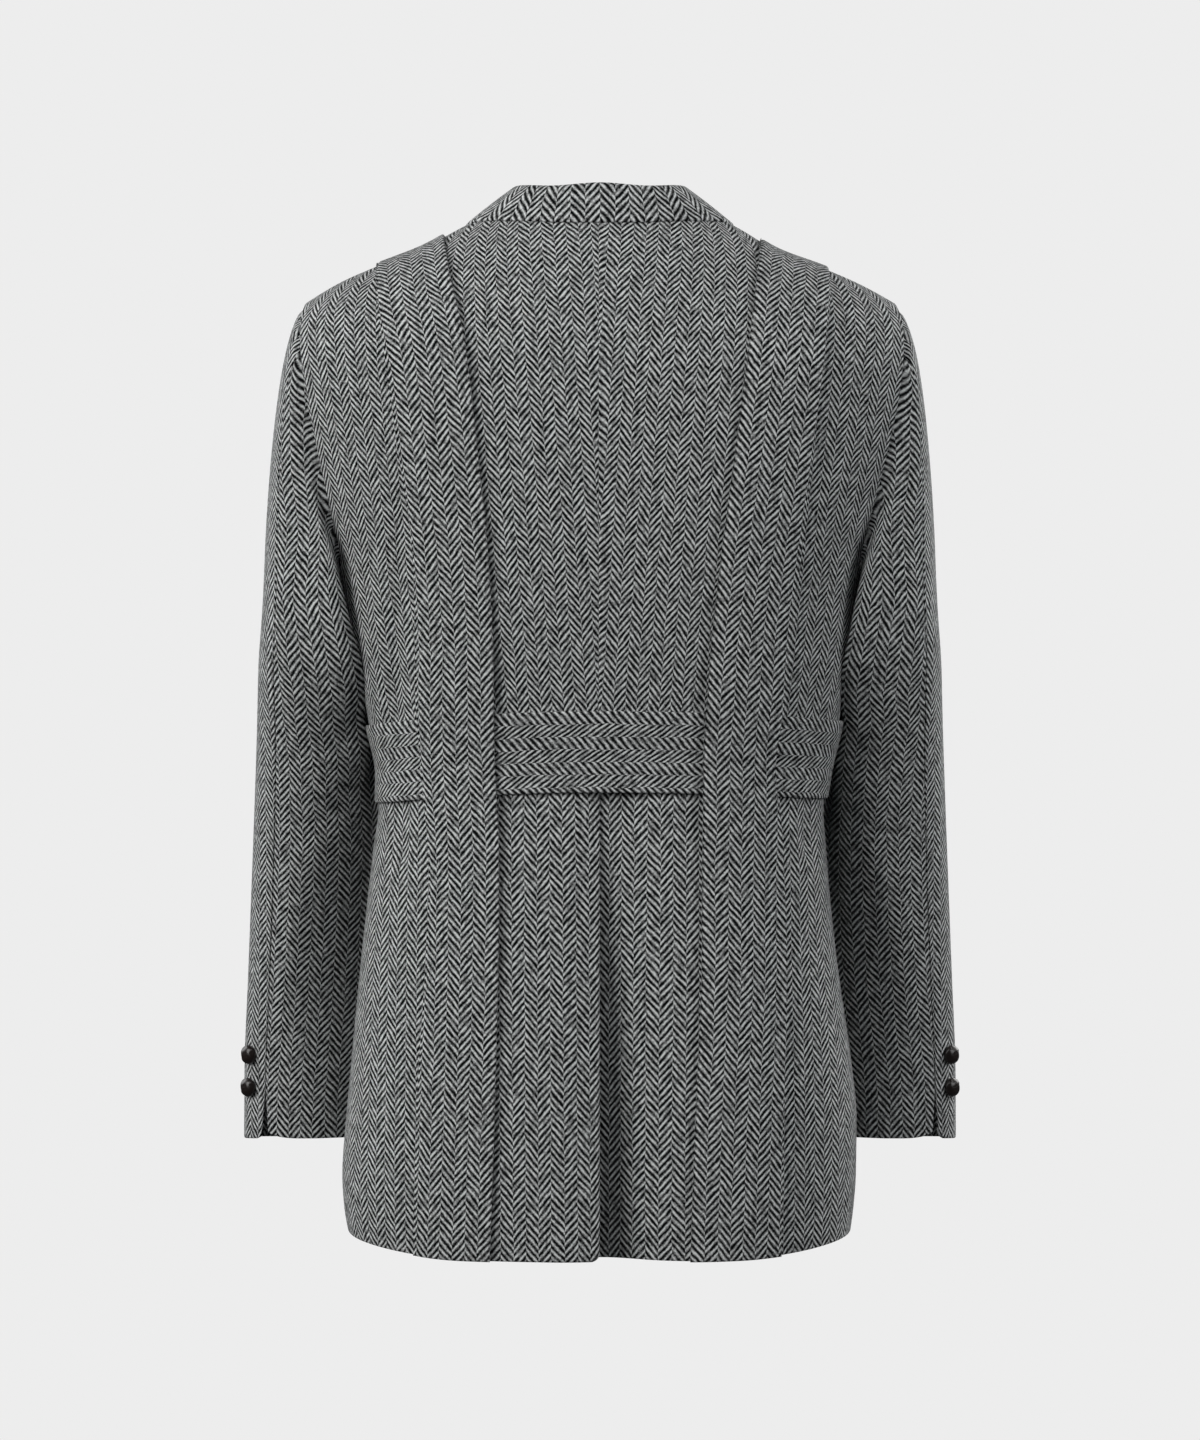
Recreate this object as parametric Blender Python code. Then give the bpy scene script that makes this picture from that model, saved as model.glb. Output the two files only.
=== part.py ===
"""Norfolk jacket in herringbone tweed, filled out as it hangs on a body.

Metres, Z up. The front faces -Y and the wearer's left is +X.
The origin is the middle of the neck base, where the wearer's neck and shoulders carry it.
The body is a stack of rounded sections, a half width to each side and a depth to back and front.
Its top closes on a sloping shoulder line, and every body piece is a patch of this one form.
"""
import math

import bpy
import numpy as np

# Cloth and seams
CLOTH = 0.0025
SEAM_GAP = 0.0004
ARMHOLE_GAP = 0.0010
BODY_EXPONENT = 2.4
SLEEVE_EXPONENT = 2.3

# Steps of each repeated solution, and the small steps that directions are measured over
SOLVE_STEPS = 40
NORMAL_STEP = 2.0e-5
SLEEVE_STEP = 1.0e-3
SLEEVE_TURN_STEP = 0.05
SHARP_ANGLE = 45.0

# Heights of the main levels
HEM_HEIGHT = -0.7365
HEM_SIDE_RISE = 0.0075
HEM_RISE_START = 0.098
HEM_RISE_SPAN = 0.090
HEM_RISE_POWER = 1.6
UNDERARM_HEIGHT = -0.252
SLEEVE_TOP_RING = -0.272
CUFF_HEIGHT = -0.674

# Angles round the body, from centre back 0 to centre front 180
SIDE_SEAM_ANGLE = 95.0
SIDE_SEAM_HALF_GAP = 0.08

# Body sections: height, half width left, half width right, back depth, front depth
BODY_SECTIONS = (
    (-0.738, 0.1815, 0.1810, 0.1195, 0.1230),
    (-0.712, 0.1862, 0.1845, 0.1185, 0.1225),
    (-0.690, 0.1876, 0.1862, 0.1175, 0.1220),
    (-0.650, 0.1850, 0.1868, 0.1150, 0.1210),
    (-0.607, 0.1810, 0.1830, 0.1125, 0.1200),
    (-0.553, 0.1760, 0.1752, 0.1090, 0.1180),
    (-0.503, 0.1708, 0.1690, 0.1055, 0.1160),
    (-0.451, 0.1650, 0.1645, 0.1015, 0.1130),
    (-0.420, 0.1610, 0.1625, 0.0985, 0.1110),
    (-0.395, 0.1605, 0.1655, 0.0975, 0.1100),
    (-0.360, 0.1675, 0.1735, 0.1000, 0.1110),
    (-0.335, 0.1735, 0.1780, 0.1025, 0.1130),
    (-0.300, 0.1812, 0.1838, 0.1060, 0.1160),
    (-0.266, 0.1870, 0.1868, 0.1085, 0.1190),
    (-0.236, 0.1930, 0.1935, 0.1105, 0.1210),
    (-0.206, 0.2030, 0.2050, 0.1120, 0.1220),
    (-0.164, 0.2165, 0.2205, 0.1125, 0.1210),
    (-0.114, 0.2290, 0.2330, 0.1110, 0.1160),
    (-0.071, 0.2360, 0.2385, 0.1080, 0.1090),
    (-0.049, 0.2385, 0.2395, 0.1060, 0.1040),
    (0.060, 0.2450, 0.2450, 0.1000, 0.0900),
)

# Shoulder line: distance from the middle, height of the ridge left and right,
# height of its round to the back and front
SHOULDER_LINE = (
    (-0.040, 0.0345, 0.0345, 0.145, 0.140),
    (0.000, 0.0450, 0.0450, 0.160, 0.150),
    (0.040, 0.0345, 0.0345, 0.145, 0.140),
    (0.075, 0.0190, 0.0190, 0.128, 0.128),
    (0.101, 0.0060, 0.0056, 0.115, 0.118),
    (0.130, -0.0096, -0.0116, 0.100, 0.105),
    (0.165, -0.0232, -0.0246, 0.085, 0.090),
    (0.190, -0.0342, -0.0354, 0.072, 0.078),
    (0.216, -0.0494, -0.0494, 0.060, 0.065),
    (0.250, -0.0700, -0.0700, 0.050, 0.055),
)
NECK_HALF_WIDTH = 0.075
NECK_BACK_DEPTH = 0.0635
NECK_CURVE_EXPONENT = 2.5
NECK_PLACES = (0.0, 0.020, 0.038, 0.053, 0.065, 0.072, 0.075)

# Grid of a body panel: rows below and above the underarm, and places of the columns
LOWER_ROWS = 15
UPPER_ROWS = 10
ROW_BUNCHING = 1.5
SHOULDER_START = -0.02
SHOULDER_COLUMNS = 7
VENT_ROWS = (0.695, 0.715, 0.760, 0.785)
FRONT_COLUMNS = (0.0, 0.05, 0.10, 0.155, 0.21, 0.28, 0.36, 0.45, 0.54, 0.63, 0.72, 0.81, 0.90, 1.0)

# Armhole: share of the way up, height, angle of its back edge, angle of its front edge
ARMHOLE = (
    (0.00, -0.2520, 95.0, 95.0),
    (0.06, -0.2485, 87.0, 101.0),
    (0.12, -0.2370, 77.0, 108.0),
    (0.24, -0.2056, 70.6, 114.0),
    (0.38, -0.1645, 67.0, 117.5),
    (0.58, -0.1140, 65.9, 118.0),
    (0.80, -0.0714, 64.8, 116.5),
    (1.00, -0.0498, 62.4, 117.6),
)

# Centre vent of the back: the right half dips under the left half
VENT_SEAM_END = -0.378
VENT_TOP = -0.398
VENT_UNDERLAP = 0.038
VENT_DIP_WIDTH = 0.045
VENT_DIP_REACH = 1.08
VENT_DIP = ((-0.735, 0.0085), (-0.560, 0.0062), (-0.420, 0.0043), (-0.374, 0.0041), (-0.346, 0.0))
VENT_LIFT = ((-0.735, 0.0022), (-0.560, 0.0012), (-0.430, 0.0), (-0.350, 0.0))
VENT_CORNER = 0.007

# Front lap, left over right, and the roll line of the lapels
FRONT_LAP = 0.020
BREAK_HEIGHT = -0.252
FRONT_DIP_END = 0.060
FRONT_DIP_WIDTH = 0.036
FRONT_DIP = ((-0.735, 0.0038), (-0.190, 0.0038), (-0.135, 0.0))
FRONT_CORNER = 0.045
LAPEL_WIDTH = 0.074
LAPEL_LEAST_WIDTH = 0.006
LAPEL_BELLY = 0.8
LAPEL_FOOT_LEFT = -0.246
LAPEL_FOOT_RIGHT = -0.188
LAPEL_LIFT = 0.0008
LAPEL_ROLL = 0.0022
LAPEL_COLUMNS = 7
LAPEL_ROWS = 12

# Top edge of the lapel: share across, height
LAPEL_TOP = ((0.0, -0.0550), (0.5, -0.0590), (1.0, -0.0830))

# Straps of the back: height, inner edge and outer edge from the middle
STRAP_LEFT = (
    (-0.735, 0.0762, 0.1295),
    (-0.647, 0.0735, 0.1280),
    (-0.519, 0.0706, 0.1210),
    (-0.448, 0.0702, 0.1188),
    (-0.380, 0.0730, 0.1235),
    (-0.310, 0.0742, 0.1288),
    (-0.243, 0.0776, 0.1302),
    (-0.161, 0.0858, 0.1412),
    (-0.090, 0.0945, 0.1520),
    (-0.040, 0.1055, 0.1600),
    (0.010, 0.1150, 0.1660),
)
STRAP_RIGHT = (
    (-0.735, 0.0632, 0.1258),
    (-0.647, 0.0663, 0.1280),
    (-0.519, 0.0715, 0.1300),
    (-0.448, 0.0716, 0.1270),
    (-0.390, 0.0716, 0.1215),
    (-0.320, 0.0763, 0.1325),
    (-0.243, 0.0845, 0.1400),
    (-0.161, 0.0955, 0.1490),
    (-0.090, 0.1050, 0.1590),
    (-0.040, 0.1110, 0.1650),
    (0.010, 0.1180, 0.1680),
)
STRAP_LIFT = 0.0010
STRAP_BULGE = 0.0014
STRAP_OVER_BELT = 0.0064
STRAP_RAMP = 0.012
STRAP_COLUMNS = 4
STRAP_UPPER_ROWS = 12
STRAP_ROWS = (0.0, 0.08, 0.16, 0.24, 0.32, 0.40, 0.48, 0.56, 0.61, 0.645, 0.672, 0.70, 0.765, 0.794, 0.82,
              0.87, 0.93, 1.0)

# Belt: top edge at centre back and at each side, height, stand-off of its top and bottom
BELT_TOP_BACK = -0.3486
BELT_TOP_LEFT = -0.3590
BELT_TOP_RIGHT = -0.3550
BELT_SIDE_PLACE = 0.170
BELT_DEPTH = 0.0580
BELT_COLUMNS = 44
BELT_ROWS = 3
BELT_LIFT_TOP = 0.0008
BELT_LIFT_BOTTOM = 0.0028

# Collar, from centre back 0 over the shoulder 0.5 to the notch 1:
# share, stand height, lean of the stand towards the neck in degrees, roll radius
COLLAR_SECTIONS = (
    (0.00, 0.0172, 10.0, 0.0046),
    (0.25, 0.0168, 26.0, 0.0046),
    (0.50, 0.0150, 50.0, 0.0046),
    (0.70, 0.0115, 44.0, 0.0044),
    (0.85, 0.0080, 32.0, 0.0042),
    (1.00, 0.0050, 15.0, 0.0040),
)
COLLAR_INSET = 0.0036
COLLAR_SEAM = 0.0012
COLLAR_END = 0.6
COLLAR_LEAF_BACK_DEPTH = 0.0702
COLLAR_LEAF_SHOULDER = 0.0985
COLLAR_LEAF_EXPONENT = 2.05
COLLAR_LEAF_FRONT = 0.120
COLLAR_LEAF_FRONT_HEIGHT = -0.0515
COLLAR_LEAF_LIFT = 0.0036
COLLAR_FALL_BELLY = 0.0005
COLLAR_ROLL_POINTS = 5
COLLAR_FALL_PLACES = (0.33, 0.67, 1.0)
COLLAR_FRONT_SECTIONS = 5

# Sleeve sections: height, outer side, inner side left, inner side right, middle, half depth.
# The inner side rests against the body where that stands further out.
SLEEVE_SECTIONS = (
    (-0.272, 0.2496, 0.1760, 0.1760, -0.0160, 0.0640),
    (-0.300, 0.2522, 0.1700, 0.1700, -0.0220, 0.0620),
    (-0.340, 0.2550, 0.1640, 0.1640, -0.0320, 0.0590),
    (-0.380, 0.2580, 0.1600, 0.1620, -0.0420, 0.0560),
    (-0.450, 0.2622, 0.1600, 0.1610, -0.0560, 0.0520),
    (-0.550, 0.2675, 0.1640, 0.1650, -0.0690, 0.0470),
    (-0.620, 0.2710, 0.1690, 0.1715, -0.0760, 0.0440),
    (-0.674, 0.2716, 0.1725, 0.1750, -0.0790, 0.0430),
)
SLEEVE_HEAD_REACH = 0.0165
SLEEVE_HEAD_BACK = 0.004
SLEEVE_UNDER_REACH = 0.001
UNDERARM_SCOOP = 0.085
SLEEVE_HEAD_DROP = 0.02
SLEEVE_UNDER_DROP = 0.25
SLEEVE_TANGENT = 0.36
SLEEVE_REST = 0.0022
SLEEVE_REST_ROUND = 0.0020
BELT_STAND = 0.0056
BELT_CLEAR_RAMP = 0.020
BELT_FRONT_END = 0.030
BELT_FRONT_RAMP = 0.012
HINDARM_ANGLE = 55.0
FOREARM_ANGLE = 240.0
SEAM_ANGLE = 0.42
CUFF_SLIT_TOP = -0.644
CUFF_SLIT_ANGLE = 3.2
CUFF_TILT = 0.0045
SLEEVE_COLUMNS = 11
CAP_ROWS = 8
CAP_ROW_BUNCHING = 1.3
SLEEVE_ROWS = 11

# Buttons: domed, with a flat back
BUTTON_RADIUS = 0.0072
BUTTON_HEIGHT = 0.0066
BUTTON_SEAT = 0.0004
BUTTON_SEGMENTS = 12

# Button outline: share of the radius, share of the height
BUTTON_PROFILE = ((0.72, 0.00), (1.00, 0.26), (0.94, 0.58), (0.70, 0.83), (0.36, 0.97))
CUFF_BUTTON_ANGLE = 33.0
CUFF_BUTTON_HEIGHTS = (-0.6095, -0.6345)
FRONT_BUTTON_HEIGHTS = (-0.262, -0.352, -0.442)

# Colours, linear red green blue
TWEED_BODY = (0.150, 0.152, 0.143)
TWEED_STRAP = (0.135, 0.137, 0.129)
TWEED_BELT = (0.165, 0.167, 0.158)
TWEED_COLLAR = (0.158, 0.160, 0.151)
LEATHER = (0.012, 0.009, 0.007)
CLOTH_ROUGHNESS = 0.9
LEATHER_ROUGHNESS = 0.4


def eased(table, column, at):
    """Column of a table at any place of its first column, by a smooth curve that keeps its extremes."""
    rows = np.array(sorted(table))
    place = rows[:, 0]
    value = rows[:, column]
    step = np.diff(place)
    slope = np.diff(value) / step
    tangent = np.zeros(len(place))
    tangent[0] = slope[0]
    tangent[-1] = slope[-1]
    before = slope[:-1]
    after = slope[1:]
    product = before * after
    total = np.where(before + after == 0.0, 1.0, before + after)
    tangent[1:-1] = np.where(product > 0.0, 2.0 * product / total, 0.0)
    at = np.clip(np.asarray(at, dtype=float), place[0], place[-1])
    row = np.clip(np.searchsorted(place, at, side="right") - 1, 0, len(step) - 1)
    share = (at - place[row]) / step[row]
    blend = share * share * (3.0 - 2.0 * share)
    start_pull = share * (1.0 - share) ** 2 * step[row] * tangent[row]
    end_pull = share * share * (share - 1.0) * step[row] * tangent[row + 1]
    return value[row] * (1.0 - blend) + value[row + 1] * blend + start_pull + end_pull


def smooth_step(value):
    value = np.clip(value, 0.0, 1.0)
    return value * value * (3.0 - 2.0 * value)


def half_width(z, x):
    """Half width of the section at a height, on the side where x lies."""
    return np.where(x >= 0.0, eased(BODY_SECTIONS, 1, z), eased(BODY_SECTIONS, 2, z))


def full_depth(z, face):
    return np.where(face > 0, eased(BODY_SECTIONS, 3, z), eased(BODY_SECTIONS, 4, z))


def ridge_height(x):
    left = eased(SHOULDER_LINE, 1, np.abs(x))
    right = eased(SHOULDER_LINE, 2, np.abs(x))
    return np.where(np.asarray(x) >= 0.0, left, right)


def shoulder_round(x, z, face):
    """Share of the full depth left under the shoulder line, a quarter of an ellipse."""
    drop = np.where(face > 0, eased(SHOULDER_LINE, 3, np.abs(x)), eased(SHOULDER_LINE, 4, np.abs(x)))
    share = np.clip((ridge_height(x) - z) / drop, 0.0, 1.0)
    return np.sqrt(np.maximum(1.0 - (1.0 - share) ** 2, 0.0))


def body_depth(x, z, face):
    """Distance of the body form from the middle plane at x and z, on the back (1) or front (-1)."""
    inside = np.maximum(1.0 - (np.abs(x) / half_width(z, x)) ** BODY_EXPONENT, 0.0)
    rounding = shoulder_round(x, z, face)
    seam = 0.5 * SEAM_GAP * (1.0 - rounding)
    return full_depth(z, face) * inside ** (1.0 / BODY_EXPONENT) * rounding + seam


def body_place(x, z, face):
    return np.stack([x, face * body_depth(x, z, face), z], axis=-1)


def body_point(angle, z):
    """Point of the body form at a height and an angle in degrees, positive towards the left side."""
    turn = np.radians(angle)
    reach = np.sign(np.sin(turn)) * np.abs(np.sin(turn)) ** (2.0 / BODY_EXPONENT)
    x = reach * half_width(z, reach)
    face = np.where(np.cos(turn) >= 0.0, 1.0, -1.0)
    rounding = shoulder_round(x, z, face)
    inside = np.abs(np.cos(turn)) ** (2.0 / BODY_EXPONENT)
    seam = 0.5 * SEAM_GAP * (1.0 - rounding)
    return np.stack([x, face * (full_depth(z, face) * inside * rounding + seam), z], axis=-1)


def angle_of(side, x, z, face):
    """Angle in degrees of the body point at x and z, for a piece of one side."""
    reach = x / half_width(z, x)
    bent = np.sign(reach) * np.minimum(np.abs(reach), 1.0) ** (0.5 * BODY_EXPONENT)
    turn = np.degrees(np.arcsin(bent))
    return turn if face > 0 else side * 180.0 - turn


def form_value(point):
    """Zero on the body form, positive outside of it."""
    x, y, z = point[..., 0], point[..., 1], point[..., 2]
    face = np.where(y >= 0.0, 1.0, -1.0)
    rounding = shoulder_round(x, z, face) ** BODY_EXPONENT
    across = (np.abs(x) / half_width(z, x)) ** BODY_EXPONENT
    through = (np.abs(y) / full_depth(z, face)) ** BODY_EXPONENT
    return rounding * (across - 1.0) + through


def body_normal(point):
    """Outward direction of the body form at points on it."""
    parts = []
    for axis in range(3):
        move = np.zeros(3)
        move[axis] = NORMAL_STEP
        parts.append(form_value(point + move) - form_value(point - move))
    direction = np.stack(parts, axis=-1)
    return direction / np.linalg.norm(direction, axis=-1, keepdims=True)


def rise(share):
    """Share of the height reached, with rows drawing together towards the shoulder line."""
    return 1.0 - (1.0 - np.clip(share, 0.0, 1.0)) ** ROW_BUNCHING


def height_at_depth(x, depth):
    """Height at which the back of the body form lies at a set distance from the middle plane."""
    z = ridge_height(x)
    inside = np.maximum(1.0 - (np.abs(x) / half_width(z, x)) ** BODY_EXPONENT, 0.0) ** (1.0 / BODY_EXPONENT)
    share = np.clip(depth / (full_depth(z, 1) * inside), 0.0, 1.0)
    return z - eased(SHOULDER_LINE, 3, np.abs(x)) * (1.0 - np.sqrt(1.0 - share ** 2))


def top_height(x, face):
    """Height of the top edge of a body piece: the shoulder line, or the curve of the back neck."""
    if face < 0:
        return ridge_height(x)
    near = np.clip(np.abs(x) / NECK_HALF_WIDTH, 0.0, 1.0)
    neck = NECK_BACK_DEPTH * (1.0 - near ** NECK_CURVE_EXPONENT) ** (1.0 / NECK_CURVE_EXPONENT)
    return height_at_depth(x, neck)


def top_height_at(side, angle, face):
    """Top edge found from the angle of a column."""
    z = np.full(np.shape(angle), SHOULDER_START)
    for _ in range(SOLVE_STEPS):
        z = top_height(body_point(angle, z)[..., 0], face)
    return z


def vent_edge(side, z):
    """Place of the inner edge of a back half: the centre seam, and the under lap of the right half."""
    seam = side * 0.5 * SEAM_GAP
    if side > 0:
        return np.full(np.shape(z), seam)
    opening = smooth_step((VENT_SEAM_END - z) / (VENT_SEAM_END - VENT_TOP))
    return seam + (VENT_UNDERLAP - seam) * opening


def front_edge(side, z):
    """Place of the front edge: straight over the lap, then along the roll line to the neck point."""
    share = np.clip((z - BREAK_HEIGHT) / (ridge_height(NECK_HALF_WIDTH) - BREAK_HEIGHT), 0.0, 1.0)
    return side * (-FRONT_LAP + (NECK_HALF_WIDTH + FRONT_LAP) * share)


def hem_level(x):
    share = np.clip((np.abs(x) - HEM_RISE_START) / HEM_RISE_SPAN, 0.0, 1.0)
    return HEM_HEIGHT + HEM_SIDE_RISE * share ** HEM_RISE_POWER


def hem_height(side, angle, face):
    """Hem, rising a little at the sides, turned up at the corners of the vent's top lap and the fronts."""
    x = side * body_point(angle, np.full(np.shape(angle), HEM_HEIGHT))[..., 0]
    level = hem_level(x)
    if face > 0:
        radius = VENT_CORNER
        away = x if side > 0 else np.full(np.shape(angle), radius)
    else:
        radius = FRONT_CORNER
        away = x + FRONT_LAP
    near = np.clip(1.0 - away / radius, 0.0, 1.0)
    return level + radius * (1.0 - np.sqrt(1.0 - near ** 2))


def panel(side, face, u, v):
    """Body panel. u runs from the centre edge to the side seam.

    v runs from the hem at 0 to the underarm at 1 and the top at 2. The upper part is filled in
    between its four edges, in angle and height.
    """
    inner_edge = vent_edge if face > 0 else front_edge
    column = 1 if face > 0 else 2
    gap = face * SIDE_SEAM_HALF_GAP
    seam = side * (SIDE_SEAM_ANGLE - gap)
    low = np.minimum(v, 1.0)
    start_angle = angle_of(side, inner_edge(side, np.full(np.shape(u), HEM_HEIGHT)), HEM_HEIGHT, face)
    hem = hem_height(side, start_angle + (seam - start_angle) * u, face)
    low_z = hem + (UNDERARM_HEIGHT - hem) * low
    inner = angle_of(side, inner_edge(side, low_z), low_z, face)
    low_angle = inner + (seam - inner) * u
    share = np.clip(v - 1.0, 0.0, 1.0)
    up = rise(share)
    top_inner = top_height(np.array(side * 0.5 * SEAM_GAP), 1) if face > 0 else ridge_height(NECK_HALF_WIDTH)
    edge_z = UNDERARM_HEIGHT + (top_inner - UNDERARM_HEIGHT) * up
    edge_angle = angle_of(side, inner_edge(side, edge_z), edge_z, face)
    arm_z = eased(ARMHOLE, 1, share)
    arm_angle = side * (eased(ARMHOLE, 1 + column, share) - gap)
    bottom_inner = angle_of(side, inner_edge(side, np.array(UNDERARM_HEIGHT)), UNDERARM_HEIGHT, face)
    bottom_angle = bottom_inner + (seam - bottom_inner) * u
    corner_angle = angle_of(side, inner_edge(side, np.array(top_inner)), top_inner, face)
    arm_top = side * (ARMHOLE[-1][1 + column] - gap)
    top_angle = corner_angle + (arm_top - corner_angle) * u
    top_z = top_height_at(side, top_angle, face)
    angle = (1.0 - u) * edge_angle + u * arm_angle + (1.0 - up) * bottom_angle + up * top_angle
    angle = angle - (1.0 - up) * ((1.0 - u) * bottom_inner + u * seam)
    angle = angle - up * ((1.0 - u) * corner_angle + u * arm_top)
    z = (1.0 - u) * edge_z + u * arm_z + (1.0 - up) * UNDERARM_HEIGHT + up * top_z
    z = z - (1.0 - up) * UNDERARM_HEIGHT - up * ((1.0 - u) * top_inner + u * ARMHOLE[-1][1])
    upper = v > 1.0
    return body_point(np.where(upper, angle, low_angle), np.where(upper, z, low_z))


def lap_move(side, face, point):
    """How far a panel stands out (positive) or dips in (negative) beside the vent or the front lap."""
    x = point[..., 0] * side
    z = point[..., 2]
    if face > 0 and side > 0:
        return eased(VENT_LIFT, 1, z) * smooth_step(1.0 - x / VENT_DIP_WIDTH)
    if face > 0:
        return -eased(VENT_DIP, 1, z) * smooth_step(VENT_DIP_REACH - x / VENT_DIP_WIDTH)
    if side < 0:
        return -eased(FRONT_DIP, 1, z) * smooth_step((FRONT_DIP_END - x) / FRONT_DIP_WIDTH)
    return np.zeros(np.shape(x))


def add_mesh(name, points, faces, colour, roughness):
    """One closed body, its faces turned outward, shaded smooth except at sharp edges."""
    corner = np.array([[face[0], face[k], face[k + 1]] for face in faces for k in range(1, len(face) - 1)])
    a, b, c = points[corner[:, 0]], points[corner[:, 1]], points[corner[:, 2]]
    if np.sum(a * np.cross(b, c)) < 0.0:
        faces = [face[::-1] for face in faces]
    mesh = bpy.data.meshes.new(name)
    mesh.from_pydata(points.tolist(), [], faces)
    mesh.update()
    mesh.shade_smooth()
    mesh.set_sharp_from_angle(angle=math.radians(SHARP_ANGLE))
    material = bpy.data.materials.new(name + "_material")
    material.use_nodes = True
    shader = material.node_tree.nodes["Principled BSDF"]
    shader.inputs["Base Color"].default_value = (*colour, 1.0)
    shader.inputs["Roughness"].default_value = roughness
    shader.inputs["Metallic"].default_value = 0.0
    mesh.materials.append(material)
    thing = bpy.data.objects.new(name, mesh)
    bpy.context.collection.objects.link(thing)
    return thing


def add_wall(name, outer, inner, colour):
    """Cloth wall between two grids of the same size, closed round its four edges."""
    rows, columns = outer.shape[:2]
    count = rows * columns
    points = np.concatenate([outer.reshape(-1, 3), inner.reshape(-1, 3)])
    faces = []
    for row in range(rows - 1):
        for column in range(columns - 1):
            a = row * columns + column
            square = (a, a + 1, a + columns + 1, a + columns)
            faces.append(square)
            faces.append(tuple(k + count for k in square[::-1]))
    border = list(range(columns - 1))
    border += [row * columns + columns - 1 for row in range(rows - 1)]
    border += [count - 1 - column for column in range(columns - 1)]
    border += [row * columns for row in range(rows - 1, 0, -1)]
    for here, there in zip(border, border[1:] + border[:1]):
        faces.append((here, here + count, there + count, there))
    return add_mesh(name, points, faces, colour, CLOTH_ROUGHNESS)


def grid_normals(grid, sign):
    """Directions square to a grid, from the steps between its own points."""
    along = np.gradient(grid, axis=0)
    across = np.gradient(grid, axis=1)
    direction = sign * np.cross(along, across)
    return direction / np.linalg.norm(direction, axis=-1, keepdims=True)


def neck_columns(side):
    """Columns of the back panel that reach the neck edge at set places, then the shoulder."""
    places = side * np.array(NECK_PLACES)
    z = top_height(places, 1)
    shares = np.abs(angle_of(side, places, z, 1)) / ARMHOLE[-1][2]
    return np.concatenate([shares[:-1], np.linspace(shares[-1], 1.0, SHOULDER_COLUMNS + 1)])


def add_panel(name, side, face):
    columns = neck_columns(side) if face > 0 else FRONT_COLUMNS
    rows = np.concatenate([np.linspace(0.0, 1.0, LOWER_ROWS + 1), 1.0 + np.arange(1, UPPER_ROWS + 1) / UPPER_ROWS])
    if face > 0:
        rows = np.sort(np.concatenate([rows, VENT_ROWS]))
    u, v = np.meshgrid(columns, rows, indexing="ij")
    point = panel(side, face, u, v)
    normal = body_normal(point)
    move = lap_move(side, face, point)[..., None]
    outer = point + normal * move
    inner = outer - normal * CLOTH
    on_face = point[..., 1] * face > 0.0
    inner[..., 1] = np.where(on_face, face * np.maximum(face * inner[..., 1], 0.5 * SEAM_GAP), inner[..., 1])
    return add_wall(name, outer, inner, TWEED_BODY)


def add_strap(name, side, table):
    """Band with rolled edges on the back, lifted where it crosses the belt."""
    across = np.linspace(0.0, 1.0, STRAP_COLUMNS + 1)
    along = np.concatenate([STRAP_ROWS, 1.0 + np.arange(1, STRAP_UPPER_ROWS + 1) / STRAP_UPPER_ROWS])
    u, v = np.meshgrid(across, along, indexing="ij")
    top = np.zeros(np.shape(u))
    for _ in range(SOLVE_STEPS):
        top = ridge_height(side * (eased(table, 1, top) * (1.0 - u) + eased(table, 2, top) * u))
    hem = hem_level(eased(table, 1, HEM_HEIGHT) * (1.0 - u) + eased(table, 2, HEM_HEIGHT) * u)
    low = hem + (UNDERARM_HEIGHT - hem) * np.minimum(v, 1.0)
    z = np.where(v > 1.0, UNDERARM_HEIGHT + (top - UNDERARM_HEIGHT) * rise(v - 1.0), low)
    place = side * (eased(table, 1, z) * (1.0 - u) + eased(table, 2, z) * u)
    point = body_place(place, z, np.ones(np.shape(z)))
    normal = body_normal(point)
    belt_top = belt_top_edge(place)
    over = smooth_step((belt_top + STRAP_RAMP - z) / STRAP_RAMP)
    over = over * smooth_step((z - (belt_top - BELT_DEPTH - STRAP_RAMP)) / STRAP_RAMP)
    lift = STRAP_LIFT + STRAP_BULGE * (1.0 - (2.0 * u - 1.0) ** 2)
    lift = lift + (STRAP_OVER_BELT - lift) * over
    inner = point + normal * lift[..., None]
    return add_wall(name, inner + normal * CLOTH, inner, TWEED_STRAP)


def belt_top_edge(x):
    """Height of the belt's top edge, lowest at the sides."""
    side_top = np.where(x >= 0.0, BELT_TOP_LEFT, BELT_TOP_RIGHT)
    return BELT_TOP_BACK + (side_top - BELT_TOP_BACK) * (np.abs(x) / BELT_SIDE_PLACE) ** 2


def add_belt():
    """Half belt standing off the gathered waist, from side seam to side seam."""
    angles = (SIDE_SEAM_ANGLE - SEAM_ANGLE) * np.linspace(-1.0, 1.0, BELT_COLUMNS + 1)
    a, v = np.meshgrid(angles, np.linspace(0.0, 1.0, BELT_ROWS + 1), indexing="ij")
    z = np.full(np.shape(a), BELT_TOP_BACK)
    for _ in range(SOLVE_STEPS):
        z = belt_top_edge(body_point(a, z)[..., 0]) - BELT_DEPTH * v
    point = body_point(a, z)
    normal = body_normal(point) * np.array([1.0, 1.0, 0.0])
    normal = normal / np.linalg.norm(normal, axis=-1, keepdims=True)
    lift = BELT_LIFT_TOP + (BELT_LIFT_BOTTOM - BELT_LIFT_TOP) * v
    inner = point + normal * lift[..., None]
    return add_wall("belt", inner + normal * CLOTH, inner, TWEED_BELT)


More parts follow.
